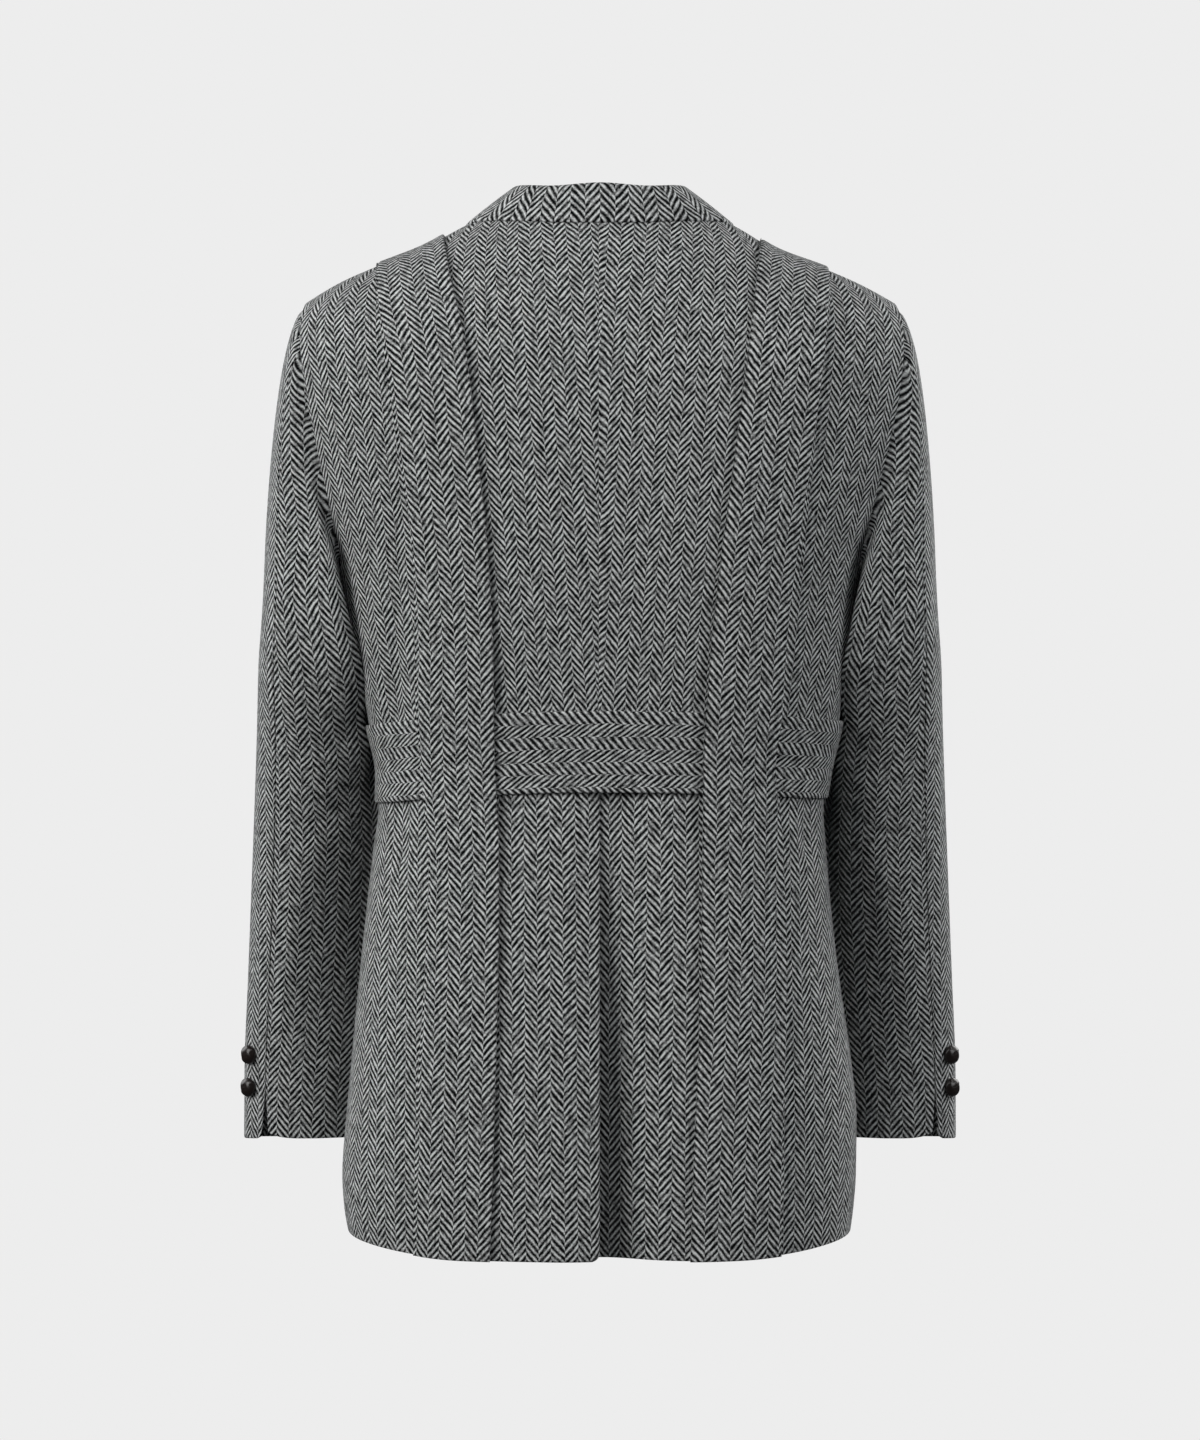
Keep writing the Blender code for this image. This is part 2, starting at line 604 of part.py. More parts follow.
def add_lapel(name, side, foot):
    """Lapel turned back on the forepart from the roll line, widest under the notch."""
    across = np.linspace(0.0, 1.0, LAPEL_COLUMNS)
    u, v = np.meshgrid(across, np.linspace(0.0, 1.0, LAPEL_ROWS), indexing="ij")
    top = np.interp(u, [row[0] for row in LAPEL_TOP], [row[1] for row in LAPEL_TOP])
    z = foot + (top - foot) * v
    share = np.clip((z - BREAK_HEIGHT) / (LAPEL_TOP[0][1] - BREAK_HEIGHT), 0.0, 1.0)
    width = np.maximum(LAPEL_WIDTH * share ** LAPEL_BELLY, LAPEL_LEAST_WIDTH)
    place = front_edge(side, z) + side * u * width
    point = body_place(place, z, -np.ones(np.shape(z)))
    normal = body_normal(point)
    lift = LAPEL_LIFT + LAPEL_ROLL * (1.0 - u) ** 4 + lap_move(side, -1, point)
    inner = point + normal * lift[..., None]
    return add_wall(name, inner + normal * CLOTH, inner, TWEED_COLLAR)


def collar_lines(side):
    """Seam line on the neck edge and leaf line on the body, with the share of each row."""
    seam, leaf, shares = [], [], []
    for place in NECK_PLACES:
        near = place / NECK_HALF_WIDTH
        x = np.array(side * place)
        seam.append(body_place(x, top_height(x, 1), 1.0))
        x = side * COLLAR_LEAF_SHOULDER * near
        left = max(1.0 - near ** COLLAR_LEAF_EXPONENT, 0.0) ** (1.0 / COLLAR_LEAF_EXPONENT)
        leaf.append(body_place(x, height_at_depth(np.array(x), COLLAR_LEAF_BACK_DEPTH * left), 1.0))
        shares.append(np.arcsin(near) / math.pi)
    for step in range(1, COLLAR_FRONT_SECTIONS + 1):
        part = step / COLLAR_FRONT_SECTIONS
        up = rise(1.0 - part * (1.0 - COLLAR_END))
        z = UNDERARM_HEIGHT + (ridge_height(NECK_HALF_WIDTH) - UNDERARM_HEIGHT) * up
        seam.append(body_place(side * front_edge(1.0, z), z, -1.0))
        x = side * (COLLAR_LEAF_SHOULDER + (COLLAR_LEAF_FRONT - COLLAR_LEAF_SHOULDER) * part)
        start = ridge_height(COLLAR_LEAF_SHOULDER)
        leaf.append(body_place(x, start + (COLLAR_LEAF_FRONT_HEIGHT - start) * part, -1.0))
        shares.append(0.5 + 0.5 * part)
    return np.array(seam), np.array(leaf), np.array(shares)


def collar_rows(side):
    """Cross-sections of the collar: up the stand, over the roll, down the fall."""
    seam, leaf, shares = collar_lines(side)
    leaf = leaf + body_normal(leaf) * COLLAR_LEAF_LIFT
    run = np.gradient(seam, axis=0)
    run[0] = (1.0 * side, 0.0, 0.0)
    run = run / np.linalg.norm(run, axis=-1, keepdims=True)
    out = side * np.cross((0.0, 0.0, 1.0), run)
    out = out / np.linalg.norm(out, axis=-1, keepdims=True)
    up = side * np.cross(run, out)
    rows = []
    for k, share in enumerate(shares):
        stand = float(eased(COLLAR_SECTIONS, 1, share))
        lean = math.radians(float(eased(COLLAR_SECTIONS, 2, share)))
        radius = float(eased(COLLAR_SECTIONS, 3, share))
        climb = math.cos(lean) * up[k] - math.sin(lean) * out[k]
        away = math.sin(lean) * up[k] + math.cos(lean) * out[k]
        foot = seam[k] - COLLAR_INSET * out[k] + COLLAR_SEAM * up[k]
        shoulder = foot + stand * climb
        centre = shoulder + radius * away
        fall = leaf[k] - centre
        fall_away = float(fall @ away)
        fall_climb = float(fall @ climb)
        length = math.hypot(fall_away, fall_climb)
        last = math.atan2(fall_away / length, -fall_climb / length)
        row = [foot, foot + 0.5 * stand * climb]
        for turn in np.linspace(math.pi, last, COLLAR_ROLL_POINTS):
            row.append(centre + radius * (math.cos(turn) * away + math.sin(turn) * climb))
        bulge = math.cos(last) * away + math.sin(last) * climb
        start = row[-1]
        for part in COLLAR_FALL_PLACES:
            belly = COLLAR_FALL_BELLY * math.sin(math.pi * part)
            row.append(start + (leaf[k] - start) * part + bulge * belly)
        rows.append(row)
    return np.array(rows)


def add_collar():
    left = collar_rows(1.0)
    right = collar_rows(-1.0)
    outer = np.concatenate([right[:0:-1], left])
    normal = grid_normals(outer, 1.0)
    return add_wall("collar", outer, outer - normal * CLOTH, TWEED_COLLAR)


def armhole_point(side, turn):
    """Armhole edge at an angle round the sleeve: 0 shoulder, 90 back, 180 underarm, 270 front."""
    turn = np.mod(turn, 360.0)
    back = turn <= 180.0
    share = np.where(back, 1.0 - turn / 180.0, turn / 180.0 - 1.0)
    angle = np.where(back, eased(ARMHOLE, 2, share), eased(ARMHOLE, 3, share))
    point = body_point(side * angle, eased(ARMHOLE, 1, share))
    return point + np.array([side * ARMHOLE_GAP, 0.0, 0.0])


def body_side(side, y, z):
    """Nearest place a sleeve can come to the side of the body, over the belt at its height."""
    face = np.where(y >= 0.0, 1.0, -1.0)
    left = np.maximum(1.0 - (np.abs(y) / full_depth(z, face)) ** BODY_EXPONENT, 0.0)
    band = smooth_step((BELT_TOP_RIGHT + BELT_CLEAR_RAMP - z) / BELT_CLEAR_RAMP)
    band = band * smooth_step((z - BELT_TOP_LEFT + BELT_DEPTH + BELT_CLEAR_RAMP) / BELT_CLEAR_RAMP)
    band = band * smooth_step((y + BELT_FRONT_END) / BELT_FRONT_RAMP)
    return half_width(z, side) * left ** (1.0 / BODY_EXPONENT) + SLEEVE_REST + BELT_STAND * band


def sleeve_ring(side, turn, z):
    """Sleeve section at a height."""
    inner = eased(SLEEVE_SECTIONS, 2 if side > 0 else 3, z)
    outer = eased(SLEEVE_SECTIONS, 1, z)
    angle = np.radians(turn)
    across = np.sign(np.cos(angle)) * np.abs(np.cos(angle)) ** (2.0 / SLEEVE_EXPONENT)
    through = np.sign(np.sin(angle)) * np.abs(np.sin(angle)) ** (2.0 / SLEEVE_EXPONENT)
    x = 0.5 * (outer + inner) + 0.5 * (outer - inner) * across
    y = eased(SLEEVE_SECTIONS, 4, z) + eased(SLEEVE_SECTIONS, 5, z) * through
    beside = body_side(side, y, z)
    x = 0.5 * (x + beside + np.sqrt((x - beside) ** 2 + SLEEVE_REST_ROUND ** 2))
    return np.stack([side * x, y, z + 0.0 * x], axis=-1)


def sleeve_point(side, turn, t):
    """Point of the sleeve: t from the armhole 0 over the sleeve head to the top ring 1 and the cuff 2."""
    low = np.clip(t - 1.0, 0.0, 1.0)
    end = CUFF_HEIGHT + CUFF_TILT * np.sin(np.radians(turn))
    tube = sleeve_ring(side, turn, SLEEVE_TOP_RING + (end - SLEEVE_TOP_RING) * low)
    start = armhole_point(side, turn)
    finish = sleeve_ring(side, turn, np.full(np.shape(turn), SLEEVE_TOP_RING))
    top = smooth_step((start[..., 2:3] - UNDERARM_HEIGHT) / UNDERARM_SCOOP)
    drop = (start - finish)[..., 2:3] * np.array([0.0, 0.0, 1.0])
    reach = SLEEVE_HEAD_REACH * top + SLEEVE_UNDER_REACH * (1.0 - top)
    fall = SLEEVE_HEAD_DROP * top + SLEEVE_UNDER_DROP * (1.0 - top)
    leave = start + reach * np.array([side, 0.0, 0.0]) - drop * fall
    leave = leave + SLEEVE_HEAD_BACK * np.sin(np.radians(turn))[..., None] * np.array([0.0, 1.0, 0.0])
    arrive = finish + SLEEVE_TANGENT * drop
    s = np.clip(t, 0.0, 1.0)[..., None]
    cap = (1.0 - s) ** 3 * start + 3.0 * s * (1.0 - s) ** 2 * leave
    cap = cap + 3.0 * s * s * (1.0 - s) * arrive + s ** 3 * finish
    return np.where((t > 1.0)[..., None], tube, cap)


def sleeve_normal(side, turn, t):
    """Outward direction of the sleeve surface."""
    ahead = sleeve_point(side, turn + SLEEVE_TURN_STEP, t)
    round_step = ahead - sleeve_point(side, turn - SLEEVE_TURN_STEP, t)
    later = np.minimum(t + SLEEVE_STEP, 2.0)
    sooner = np.maximum(t - SLEEVE_STEP, 0.0)
    down_step = sleeve_point(side, turn, later) - sleeve_point(side, turn, sooner)
    direction = side * np.cross(down_step, round_step)
    return direction / np.linalg.norm(direction, axis=-1, keepdims=True)


def add_sleeve(name, side, first, last, first_slit, last_slit):
    """Half of a two-piece sleeve between two seams, with the cuff slit opening along the hindarm seam."""
    columns = np.linspace(0.0, 1.0, SLEEVE_COLUMNS + 1)
    cap = (np.arange(CAP_ROWS) / CAP_ROWS) ** CAP_ROW_BUNCHING
    tube = 1.0 + np.linspace(0.0, 1.0, SLEEVE_ROWS + 1)
    w, t = np.meshgrid(columns, np.concatenate([cap, tube]), indexing="ij")
    z = SLEEVE_TOP_RING + (CUFF_HEIGHT - SLEEVE_TOP_RING) * (t - 1.0)
    slit = CUFF_SLIT_ANGLE * np.clip((CUFF_SLIT_TOP - z) / (CUFF_SLIT_TOP - CUFF_HEIGHT), 0.0, 1.0)
    begin = first + SEAM_ANGLE + first_slit * slit
    finish = last - SEAM_ANGLE - last_slit * slit
    turn = begin + (finish - begin) * w
    outer = sleeve_point(side, turn, t)
    return add_wall(name, outer, outer - sleeve_normal(side, turn, t) * CLOTH, TWEED_BODY)


def add_button(name, seat, axis):
    """Domed button on its seat, turned about the axis."""
    side_way = np.cross(axis, (0.0, 0.0, 1.0))
    side_way = side_way / np.linalg.norm(side_way)
    up_way = np.cross(side_way, axis)
    base = seat + axis * BUTTON_SEAT
    points = [base]
    for radius, height in BUTTON_PROFILE:
        for k in range(BUTTON_SEGMENTS):
            turn = 2.0 * math.pi * k / BUTTON_SEGMENTS
            spoke = math.cos(turn) * side_way + math.sin(turn) * up_way
            points.append(base + BUTTON_RADIUS * radius * spoke + BUTTON_HEIGHT * height * axis)
    points.append(base + BUTTON_HEIGHT * axis)
    faces = []
    for k in range(BUTTON_SEGMENTS):
        beside = (k + 1) % BUTTON_SEGMENTS
        faces.append((0, 1 + beside, 1 + k))
        for ring in range(len(BUTTON_PROFILE) - 1):
            low = 1 + ring * BUTTON_SEGMENTS
            high = low + BUTTON_SEGMENTS
            faces.append((low + k, low + beside, high + beside, high + k))
        faces.append((high + k, high + beside, len(points) - 1))
    return add_mesh(name, np.array(points), faces, LEATHER, LEATHER_ROUGHNESS)


def add_cuff_buttons(word, side):
    turn = np.array(CUFF_BUTTON_ANGLE)
    for place, height in zip(("upper", "lower"), CUFF_BUTTON_HEIGHTS):
        t = 1.0 + (height - SLEEVE_TOP_RING) / (CUFF_HEIGHT - SLEEVE_TOP_RING) + 0.0 * turn
        seat = sleeve_point(side, turn, t)
        add_button("cuff_button_" + word + "_" + place, seat, sleeve_normal(side, turn, t))


def add_front_buttons():
    for place, height in zip(("upper", "middle", "lower"), FRONT_BUTTON_HEIGHTS):
        seat = body_place(np.array(0.0), np.array(height), np.array(-1.0))
        add_button("front_button_" + place, seat, body_normal(seat))


def clear_scene():
    for thing in list(bpy.data.objects):
        bpy.data.objects.remove(thing, do_unlink=True)


def main():
    clear_scene()
    add_panel("back_left", 1.0, 1)
    add_panel("back_right", -1.0, 1)
    add_panel("front_left", 1.0, -1)
    add_panel("front_right", -1.0, -1)
    add_lapel("lapel_left", 1.0, LAPEL_FOOT_LEFT)
    add_lapel("lapel_right", -1.0, LAPEL_FOOT_RIGHT)
    add_collar()
    add_strap("strap_left", 1.0, STRAP_LEFT)
    add_strap("strap_right", -1.0, STRAP_RIGHT)
    add_belt()
    for word, side in (("left", 1.0), ("right", -1.0)):
        add_sleeve("sleeve_" + word + "_upper", side, FOREARM_ANGLE - 360.0, HINDARM_ANGLE, 0.0, 1.0)
        add_sleeve("sleeve_" + word + "_under", side, HINDARM_ANGLE, FOREARM_ANGLE, 1.0, 0.0)
        add_cuff_buttons(word, side)
    add_front_buttons()


main()
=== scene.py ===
"""Norfolk jacket in grey herringbone tweed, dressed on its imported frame.

Metres, Z up. The front faces -Y, the wearer's left is +X, and the origin is the middle of the neck base.
The body is one form: rounded sections, closed on top by a sloping shoulder line. Every panel is a patch
of it, worked out on a fine grid, with its creases as soft troughs and ridges, and turned into a cloth
wall with rolled edges. The weave follows each piece's own map, in metres along the cloth.
"""

import math

import bpy
import numpy as np
from bpy.props import FloatProperty, FloatVectorProperty, PointerProperty
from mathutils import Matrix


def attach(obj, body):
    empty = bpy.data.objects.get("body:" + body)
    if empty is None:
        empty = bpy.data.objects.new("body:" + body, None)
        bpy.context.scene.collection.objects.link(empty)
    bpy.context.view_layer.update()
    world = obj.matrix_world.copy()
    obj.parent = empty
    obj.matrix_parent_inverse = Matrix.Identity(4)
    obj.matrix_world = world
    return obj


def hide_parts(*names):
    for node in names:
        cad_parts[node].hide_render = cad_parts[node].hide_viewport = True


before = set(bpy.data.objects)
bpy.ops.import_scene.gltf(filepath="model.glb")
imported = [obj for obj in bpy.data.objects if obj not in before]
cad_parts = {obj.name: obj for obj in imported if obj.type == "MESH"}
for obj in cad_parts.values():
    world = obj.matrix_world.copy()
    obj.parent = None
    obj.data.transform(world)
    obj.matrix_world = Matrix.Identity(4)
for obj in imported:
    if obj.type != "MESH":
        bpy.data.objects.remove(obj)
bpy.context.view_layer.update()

bl_info = {
    "name": "Norfolk jacket",
    "version": (1, 0, 0),
    "blender": (4, 5, 0),
    "location": "3D Viewport > Sidebar > Jacket",
    "description": "Makes a filled-out herringbone tweed jacket with a belted back",
    "category": "Add Mesh",
}

# Cloth and seams
CLOTH = 0.0025
SEAM_GAP = 0.0004
ARMHOLE_GAP = 0.0010
BODY_EXPONENT = 2.4
SLEEVE_EXPONENT = 2.3

# Steps of each repeated solution, and the small steps that directions are measured over
SOLVE_STEPS = 40
NORMAL_STEP = 2.0e-5
SLEEVE_STEP = 1.0e-3
SLEEVE_TURN_STEP = 0.05

# Heights of the main levels
HEM_HEIGHT = -0.7365
HEM_SIDE_RISE = 0.0075
HEM_RISE_START = 0.098
HEM_RISE_SPAN = 0.090
HEM_RISE_POWER = 1.6
UNDERARM_HEIGHT = -0.252
SLEEVE_TOP_RING = -0.272
CUFF_HEIGHT = -0.674

# The wearer's sides: word and sign of x
SIDES = (("left", 1.0), ("right", -1.0))

# Angles round the body, from centre back 0 to centre front 180
SIDE_SEAM_ANGLE = 95.0
SIDE_SEAM_HALF_GAP = 0.08

# Body sections: height, half width left, half width right, back depth, front depth
BODY_SECTIONS = (
    (-0.738, 0.1815, 0.1810, 0.1195, 0.1230),
    (-0.712, 0.1862, 0.1845, 0.1185, 0.1225),
    (-0.690, 0.1876, 0.1862, 0.1175, 0.1220),
    (-0.650, 0.1850, 0.1868, 0.1150, 0.1210),
    (-0.607, 0.1810, 0.1830, 0.1125, 0.1200),
    (-0.553, 0.1760, 0.1752, 0.1090, 0.1180),
    (-0.503, 0.1708, 0.1690, 0.1055, 0.1160),
    (-0.451, 0.1650, 0.1645, 0.1015, 0.1130),
    (-0.420, 0.1610, 0.1625, 0.0985, 0.1110),
    (-0.395, 0.1605, 0.1655, 0.0975, 0.1100),
    (-0.360, 0.1675, 0.1735, 0.1000, 0.1110),
    (-0.335, 0.1735, 0.1780, 0.1025, 0.1130),
    (-0.300, 0.1812, 0.1838, 0.1060, 0.1160),
    (-0.266, 0.1870, 0.1868, 0.1085, 0.1190),
    (-0.236, 0.1930, 0.1935, 0.1105, 0.1210),
    (-0.206, 0.2030, 0.2050, 0.1120, 0.1220),
    (-0.164, 0.2165, 0.2205, 0.1125, 0.1210),
    (-0.114, 0.2290, 0.2330, 0.1110, 0.1160),
    (-0.071, 0.2360, 0.2385, 0.1080, 0.1090),
    (-0.049, 0.2385, 0.2395, 0.1060, 0.1040),
    (0.060, 0.2450, 0.2450, 0.1000, 0.0900),
)

# Shoulder line: distance from the middle, height of the ridge left and right,
# height of its round to the back and front
SHOULDER_LINE = (
    (-0.040, 0.0345, 0.0345, 0.145, 0.140),
    (0.000, 0.0450, 0.0450, 0.160, 0.150),
    (0.040, 0.0345, 0.0345, 0.145, 0.140),
    (0.075, 0.0190, 0.0190, 0.128, 0.128),
    (0.101, 0.0060, 0.0056, 0.115, 0.118),
    (0.130, -0.0096, -0.0116, 0.100, 0.105),
    (0.165, -0.0232, -0.0246, 0.085, 0.090),
    (0.190, -0.0342, -0.0354, 0.072, 0.078),
    (0.216, -0.0494, -0.0494, 0.060, 0.065),
    (0.250, -0.0700, -0.0700, 0.050, 0.055),
)
NECK_HALF_WIDTH = 0.075
NECK_BACK_DEPTH = 0.0635
NECK_CURVE_EXPONENT = 2.5

# Rows of a body panel draw together towards the shoulder line
ROW_BUNCHING = 1.5
SHOULDER_START = -0.02

# Armhole: share of the way up, height, angle of its back edge, angle of its front edge
ARMHOLE = (
    (0.00, -0.2520, 95.0, 95.0),
    (0.06, -0.2485, 87.0, 101.0),
    (0.12, -0.2370, 77.0, 108.0),
    (0.24, -0.2056, 70.6, 114.0),
    (0.38, -0.1645, 67.0, 117.5),
    (0.58, -0.1140, 65.9, 118.0),
    (0.80, -0.0714, 64.8, 116.5),
    (1.00, -0.0498, 62.4, 117.6),
)

# Centre vent of the back: the right half dips under the left half
VENT_SEAM_END = -0.378
VENT_TOP = -0.398
VENT_UNDERLAP = 0.038
VENT_DIP_WIDTH = 0.045
VENT_DIP_REACH = 1.08
VENT_DIP = ((-0.735, 0.0085), (-0.560, 0.0062), (-0.420, 0.0043), (-0.374, 0.0041), (-0.346, 0.0))
VENT_LIFT = ((-0.735, 0.0022), (-0.560, 0.0012), (-0.430, 0.0), (-0.350, 0.0))
VENT_CORNER = 0.007

# Front lap, left over right, and the roll line of the lapels
FRONT_LAP = 0.020
BREAK_HEIGHT = -0.252
FRONT_DIP_END = 0.060
FRONT_DIP_WIDTH = 0.036
FRONT_DIP = ((-0.735, 0.0038), (-0.190, 0.0038), (-0.135, 0.0))
FRONT_CORNER = 0.045
LAPEL_WIDTH = 0.074
LAPEL_LEAST_WIDTH = 0.006
LAPEL_BELLY = 0.8
LAPEL_FOOT_LEFT = -0.246
LAPEL_FOOT_RIGHT = -0.188
LAPEL_LIFT = 0.0008
LAPEL_ROLL = 0.0022

# Top edge of the lapel: share across, height
LAPEL_TOP = ((0.0, -0.0550), (0.5, -0.0590), (1.0, -0.0830))

# Straps of the back: height, inner edge and outer edge from the middle
STRAP_LEFT = (
    (-0.735, 0.0762, 0.1295),
    (-0.647, 0.0735, 0.1280),
    (-0.519, 0.0706, 0.1210),
    (-0.448, 0.0702, 0.1188),
    (-0.380, 0.0730, 0.1235),
    (-0.310, 0.0742, 0.1288),
    (-0.243, 0.0776, 0.1302),
    (-0.161, 0.0858, 0.1412),
    (-0.090, 0.0945, 0.1520),
    (-0.040, 0.1055, 0.1600),
    (0.010, 0.1150, 0.1660),
)
STRAP_RIGHT = (
    (-0.735, 0.0632, 0.1258),
    (-0.647, 0.0663, 0.1280),
    (-0.519, 0.0715, 0.1300),
    (-0.448, 0.0716, 0.1270),
    (-0.390, 0.0716, 0.1215),
    (-0.320, 0.0763, 0.1325),
    (-0.243, 0.0845, 0.1400),
    (-0.161, 0.0955, 0.1490),
    (-0.090, 0.1050, 0.1590),
    (-0.040, 0.1110, 0.1650),
    (0.010, 0.1180, 0.1680),
)

# Belt: top edge at centre back and at each side, height, stand-off of its top and bottom
BELT_TOP_BACK = -0.3486
BELT_TOP_LEFT = -0.3590
BELT_TOP_RIGHT = -0.3550
BELT_SIDE_PLACE = 0.170
BELT_DEPTH = 0.0580
BELT_LIFT_TOP = 0.0008
BELT_LIFT_BOTTOM = 0.0006

# Collar, from centre back 0 over the shoulder 0.5 to the notch 1:
# share, stand height, lean of the stand towards the neck in degrees, roll radius
COLLAR_SECTIONS = (
    (0.00, 0.0172, 10.0, 0.0046),
    (0.25, 0.0168, 26.0, 0.0046),
    (0.50, 0.0150, 50.0, 0.0046),
    (0.70, 0.0115, 44.0, 0.0044),
    (0.85, 0.0080, 32.0, 0.0042),
    (1.00, 0.0050, 15.0, 0.0040),
)
COLLAR_INSET = 0.0036
COLLAR_SEAM = 0.0012
COLLAR_END = 0.6
COLLAR_LEAF_BACK_DEPTH = 0.0702
COLLAR_LEAF_SHOULDER = 0.0985
COLLAR_LEAF_EXPONENT = 2.05
COLLAR_LEAF_FRONT = 0.120
COLLAR_LEAF_FRONT_HEIGHT = -0.0515
COLLAR_LEAF_LIFT = 0.0036
COLLAR_FALL_BELLY = 0.0005

# Sleeve sections: height, outer side, inner side left, inner side right, middle, half depth.
# The inner side rests against the body where that stands further out.
SLEEVE_SECTIONS = (
    (-0.272, 0.2496, 0.1760, 0.1760, -0.0160, 0.0640),
    (-0.300, 0.2522, 0.1700, 0.1700, -0.0220, 0.0620),
    (-0.340, 0.2550, 0.1640, 0.1640, -0.0320, 0.0590),
    (-0.380, 0.2580, 0.1600, 0.1620, -0.0420, 0.0560),
    (-0.450, 0.2622, 0.1600, 0.1610, -0.0560, 0.0520),
    (-0.550, 0.2675, 0.1640, 0.1650, -0.0690, 0.0470),
    (-0.620, 0.2710, 0.1690, 0.1715, -0.0760, 0.0440),
    (-0.674, 0.2716, 0.1725, 0.1750, -0.0790, 0.0430),
)
SLEEVE_HEAD_REACH = 0.0165
SLEEVE_HEAD_BACK = 0.004
SLEEVE_UNDER_REACH = 0.001
UNDERARM_SCOOP = 0.085
SLEEVE_HEAD_DROP = 0.02
SLEEVE_UNDER_DROP = 0.25
SLEEVE_TANGENT = 0.36
SLEEVE_REST = 0.0022
SLEEVE_REST_ROUND = 0.0020
BELT_STAND = 0.0056
BELT_CLEAR_RAMP = 0.020
BELT_FRONT_END = 0.030
BELT_FRONT_RAMP = 0.012
HINDARM_ANGLE = 55.0
FOREARM_ANGLE = 240.0
SEAM_ANGLE = 0.42
CUFF_SLIT_TOP = -0.644
CUFF_SLIT_ANGLE = 3.2
CUFF_TILT = 0.0045

# Buttons: domed, with a flat back
BUTTON_RADIUS = 0.0072
BUTTON_HEIGHT = 0.0066
BUTTON_SEAT = 0.0004

CUFF_BUTTON_ANGLE = 33.0
CUFF_BUTTON_HEIGHTS = (-0.6095, -0.6345)
FRONT_BUTTON_HEIGHTS = (-0.262, -0.352, -0.442)

# Distances in from an edge that every grid has a row at, so that edges can be rolled
EDGE_PLACES = (0.0003, 0.0007, 0.0013, 0.0021, 0.0032)

# Grids: number of even places, and the length that the close ones at its edges are measured on
PANEL_COLUMNS = (66, 0.22)
PANEL_LOW_ROWS = (150, 0.48)
PANEL_HIGH_ROWS = (78, 0.30)
STRAP_COLUMNS = (20, 0.052)
STRAP_LOW_ROWS = (190, 0.48)
STRAP_HIGH_ROWS = (100, 0.30)
BELT_COLUMNS = (180, 0.46)
BELT_ROWS = (20, BELT_DEPTH)
LAPEL_COLUMNS = (30, 0.07)
LAPEL_ROWS = (64, 0.20)
COLLAR_COLUMNS = (74, 0.24)
COLLAR_FALL_ROWS = (26, 0.035)
COLLAR_STAND_ROWS = 9
COLLAR_ROLL_ROWS = 18
SLEEVE_COLUMNS = (46, 0.20)
SLEEVE_HEAD_ROWS = (46, 0.19)
SLEEVE_ARM_ROWS = (150, 0.40)
SLEEVE_HEAD_BUNCHING = 1.15

# Rolled edges: radius of the roll and how far the edge falls, and the least cloth left between both faces
SEAM_ROLL = 0.0012
SEAM_FALL = 0.0011
HEM_ROLL = 0.0016
HEM_FALL = 0.0011
VENT_EDGE_ROLL = 0.0021
VENT_EDGE_FALL = 0.0014
UNDER_EDGE_ROLL = 0.0006
UNDER_EDGE_FALL = 0.0003
LAPEL_FOLD_ROLL = 0.0030
LAPEL_FOLD_FALL = 0.0020
LEAF_EDGE_ROLL = 0.0022
LEAF_EDGE_FALL = 0.0012
BELT_TOP_ROLL = 0.0024
BELT_TOP_FALL = 0.0013
BELT_LOW_ROLL = 0.0020
BELT_LOW_FALL = 0.0012
LEAST_CLOTH = 0.0002

# Centre seam drawn shut: how far the right half moves over, and how wide that fades out
SEAM_CLOSE = 0.0011
SEAM_CLOSE_WIDTH = 0.004

# Crease: share of its height at its start, and the length of its fading ends in half widths
CREASE_START = 0.55
CREASE_FADE = 1.6

# Creases of the back, one a row: start across, start height, end across, end height, half width, rise
BACK_CREASES = (
    (0.1425, -0.205, 0.1455, -0.352, 0.0058, -0.0026),
    (0.1545, -0.250, 0.1570, -0.350, 0.0075, 0.0014),
    (0.1405, -0.410, 0.1415, -0.452, 0.0060, -0.0030),
    (-0.1460, -0.404, -0.1480, -0.446, 0.0060, -0.0030),
    (-0.1500, -0.270, -0.1530, -0.352, 0.0070, -0.0014),
)

# Hollow of the under lap beside the vent edge: height, depth at the edge, reach across
VENT_HOLLOW = (
    (-0.745, 0.0230, 0.082),
    (-0.680, 0.0210, 0.078),
    (-0.600, 0.0165, 0.070),
    (-0.520, 0.0105, 0.058),
    (-0.450, 0.0040, 0.044),
    (-0.400, 0.0000, 0.034),
)

# Upper lap of the vent, turning in at its edge: height, depth at the edge, reach across
VENT_TURN = (
    (-0.745, 0.0050, 0.032),
    (-0.600, 0.0050, 0.028),
    (-0.480, 0.0044, 0.024),
    (-0.425, 0.0034, 0.018),
    (-0.395, 0.0000, 0.016),
)

# Creases of the fronts, in the same rows as those of the back, and plainer
FRONT_CREASES = (
    (0.1300, -0.230, 0.1250, -0.370, 0.0090, -0.0018),
    (-0.1320, -0.220, -0.1260, -0.360, 0.0090, -0.0018),
    (0.0700, -0.300, 0.1150, -0.345, 0.0090, 0.0012),
    (-0.0650, -0.310, -0.1100, -0.350, 0.0090, 0.0012),
)

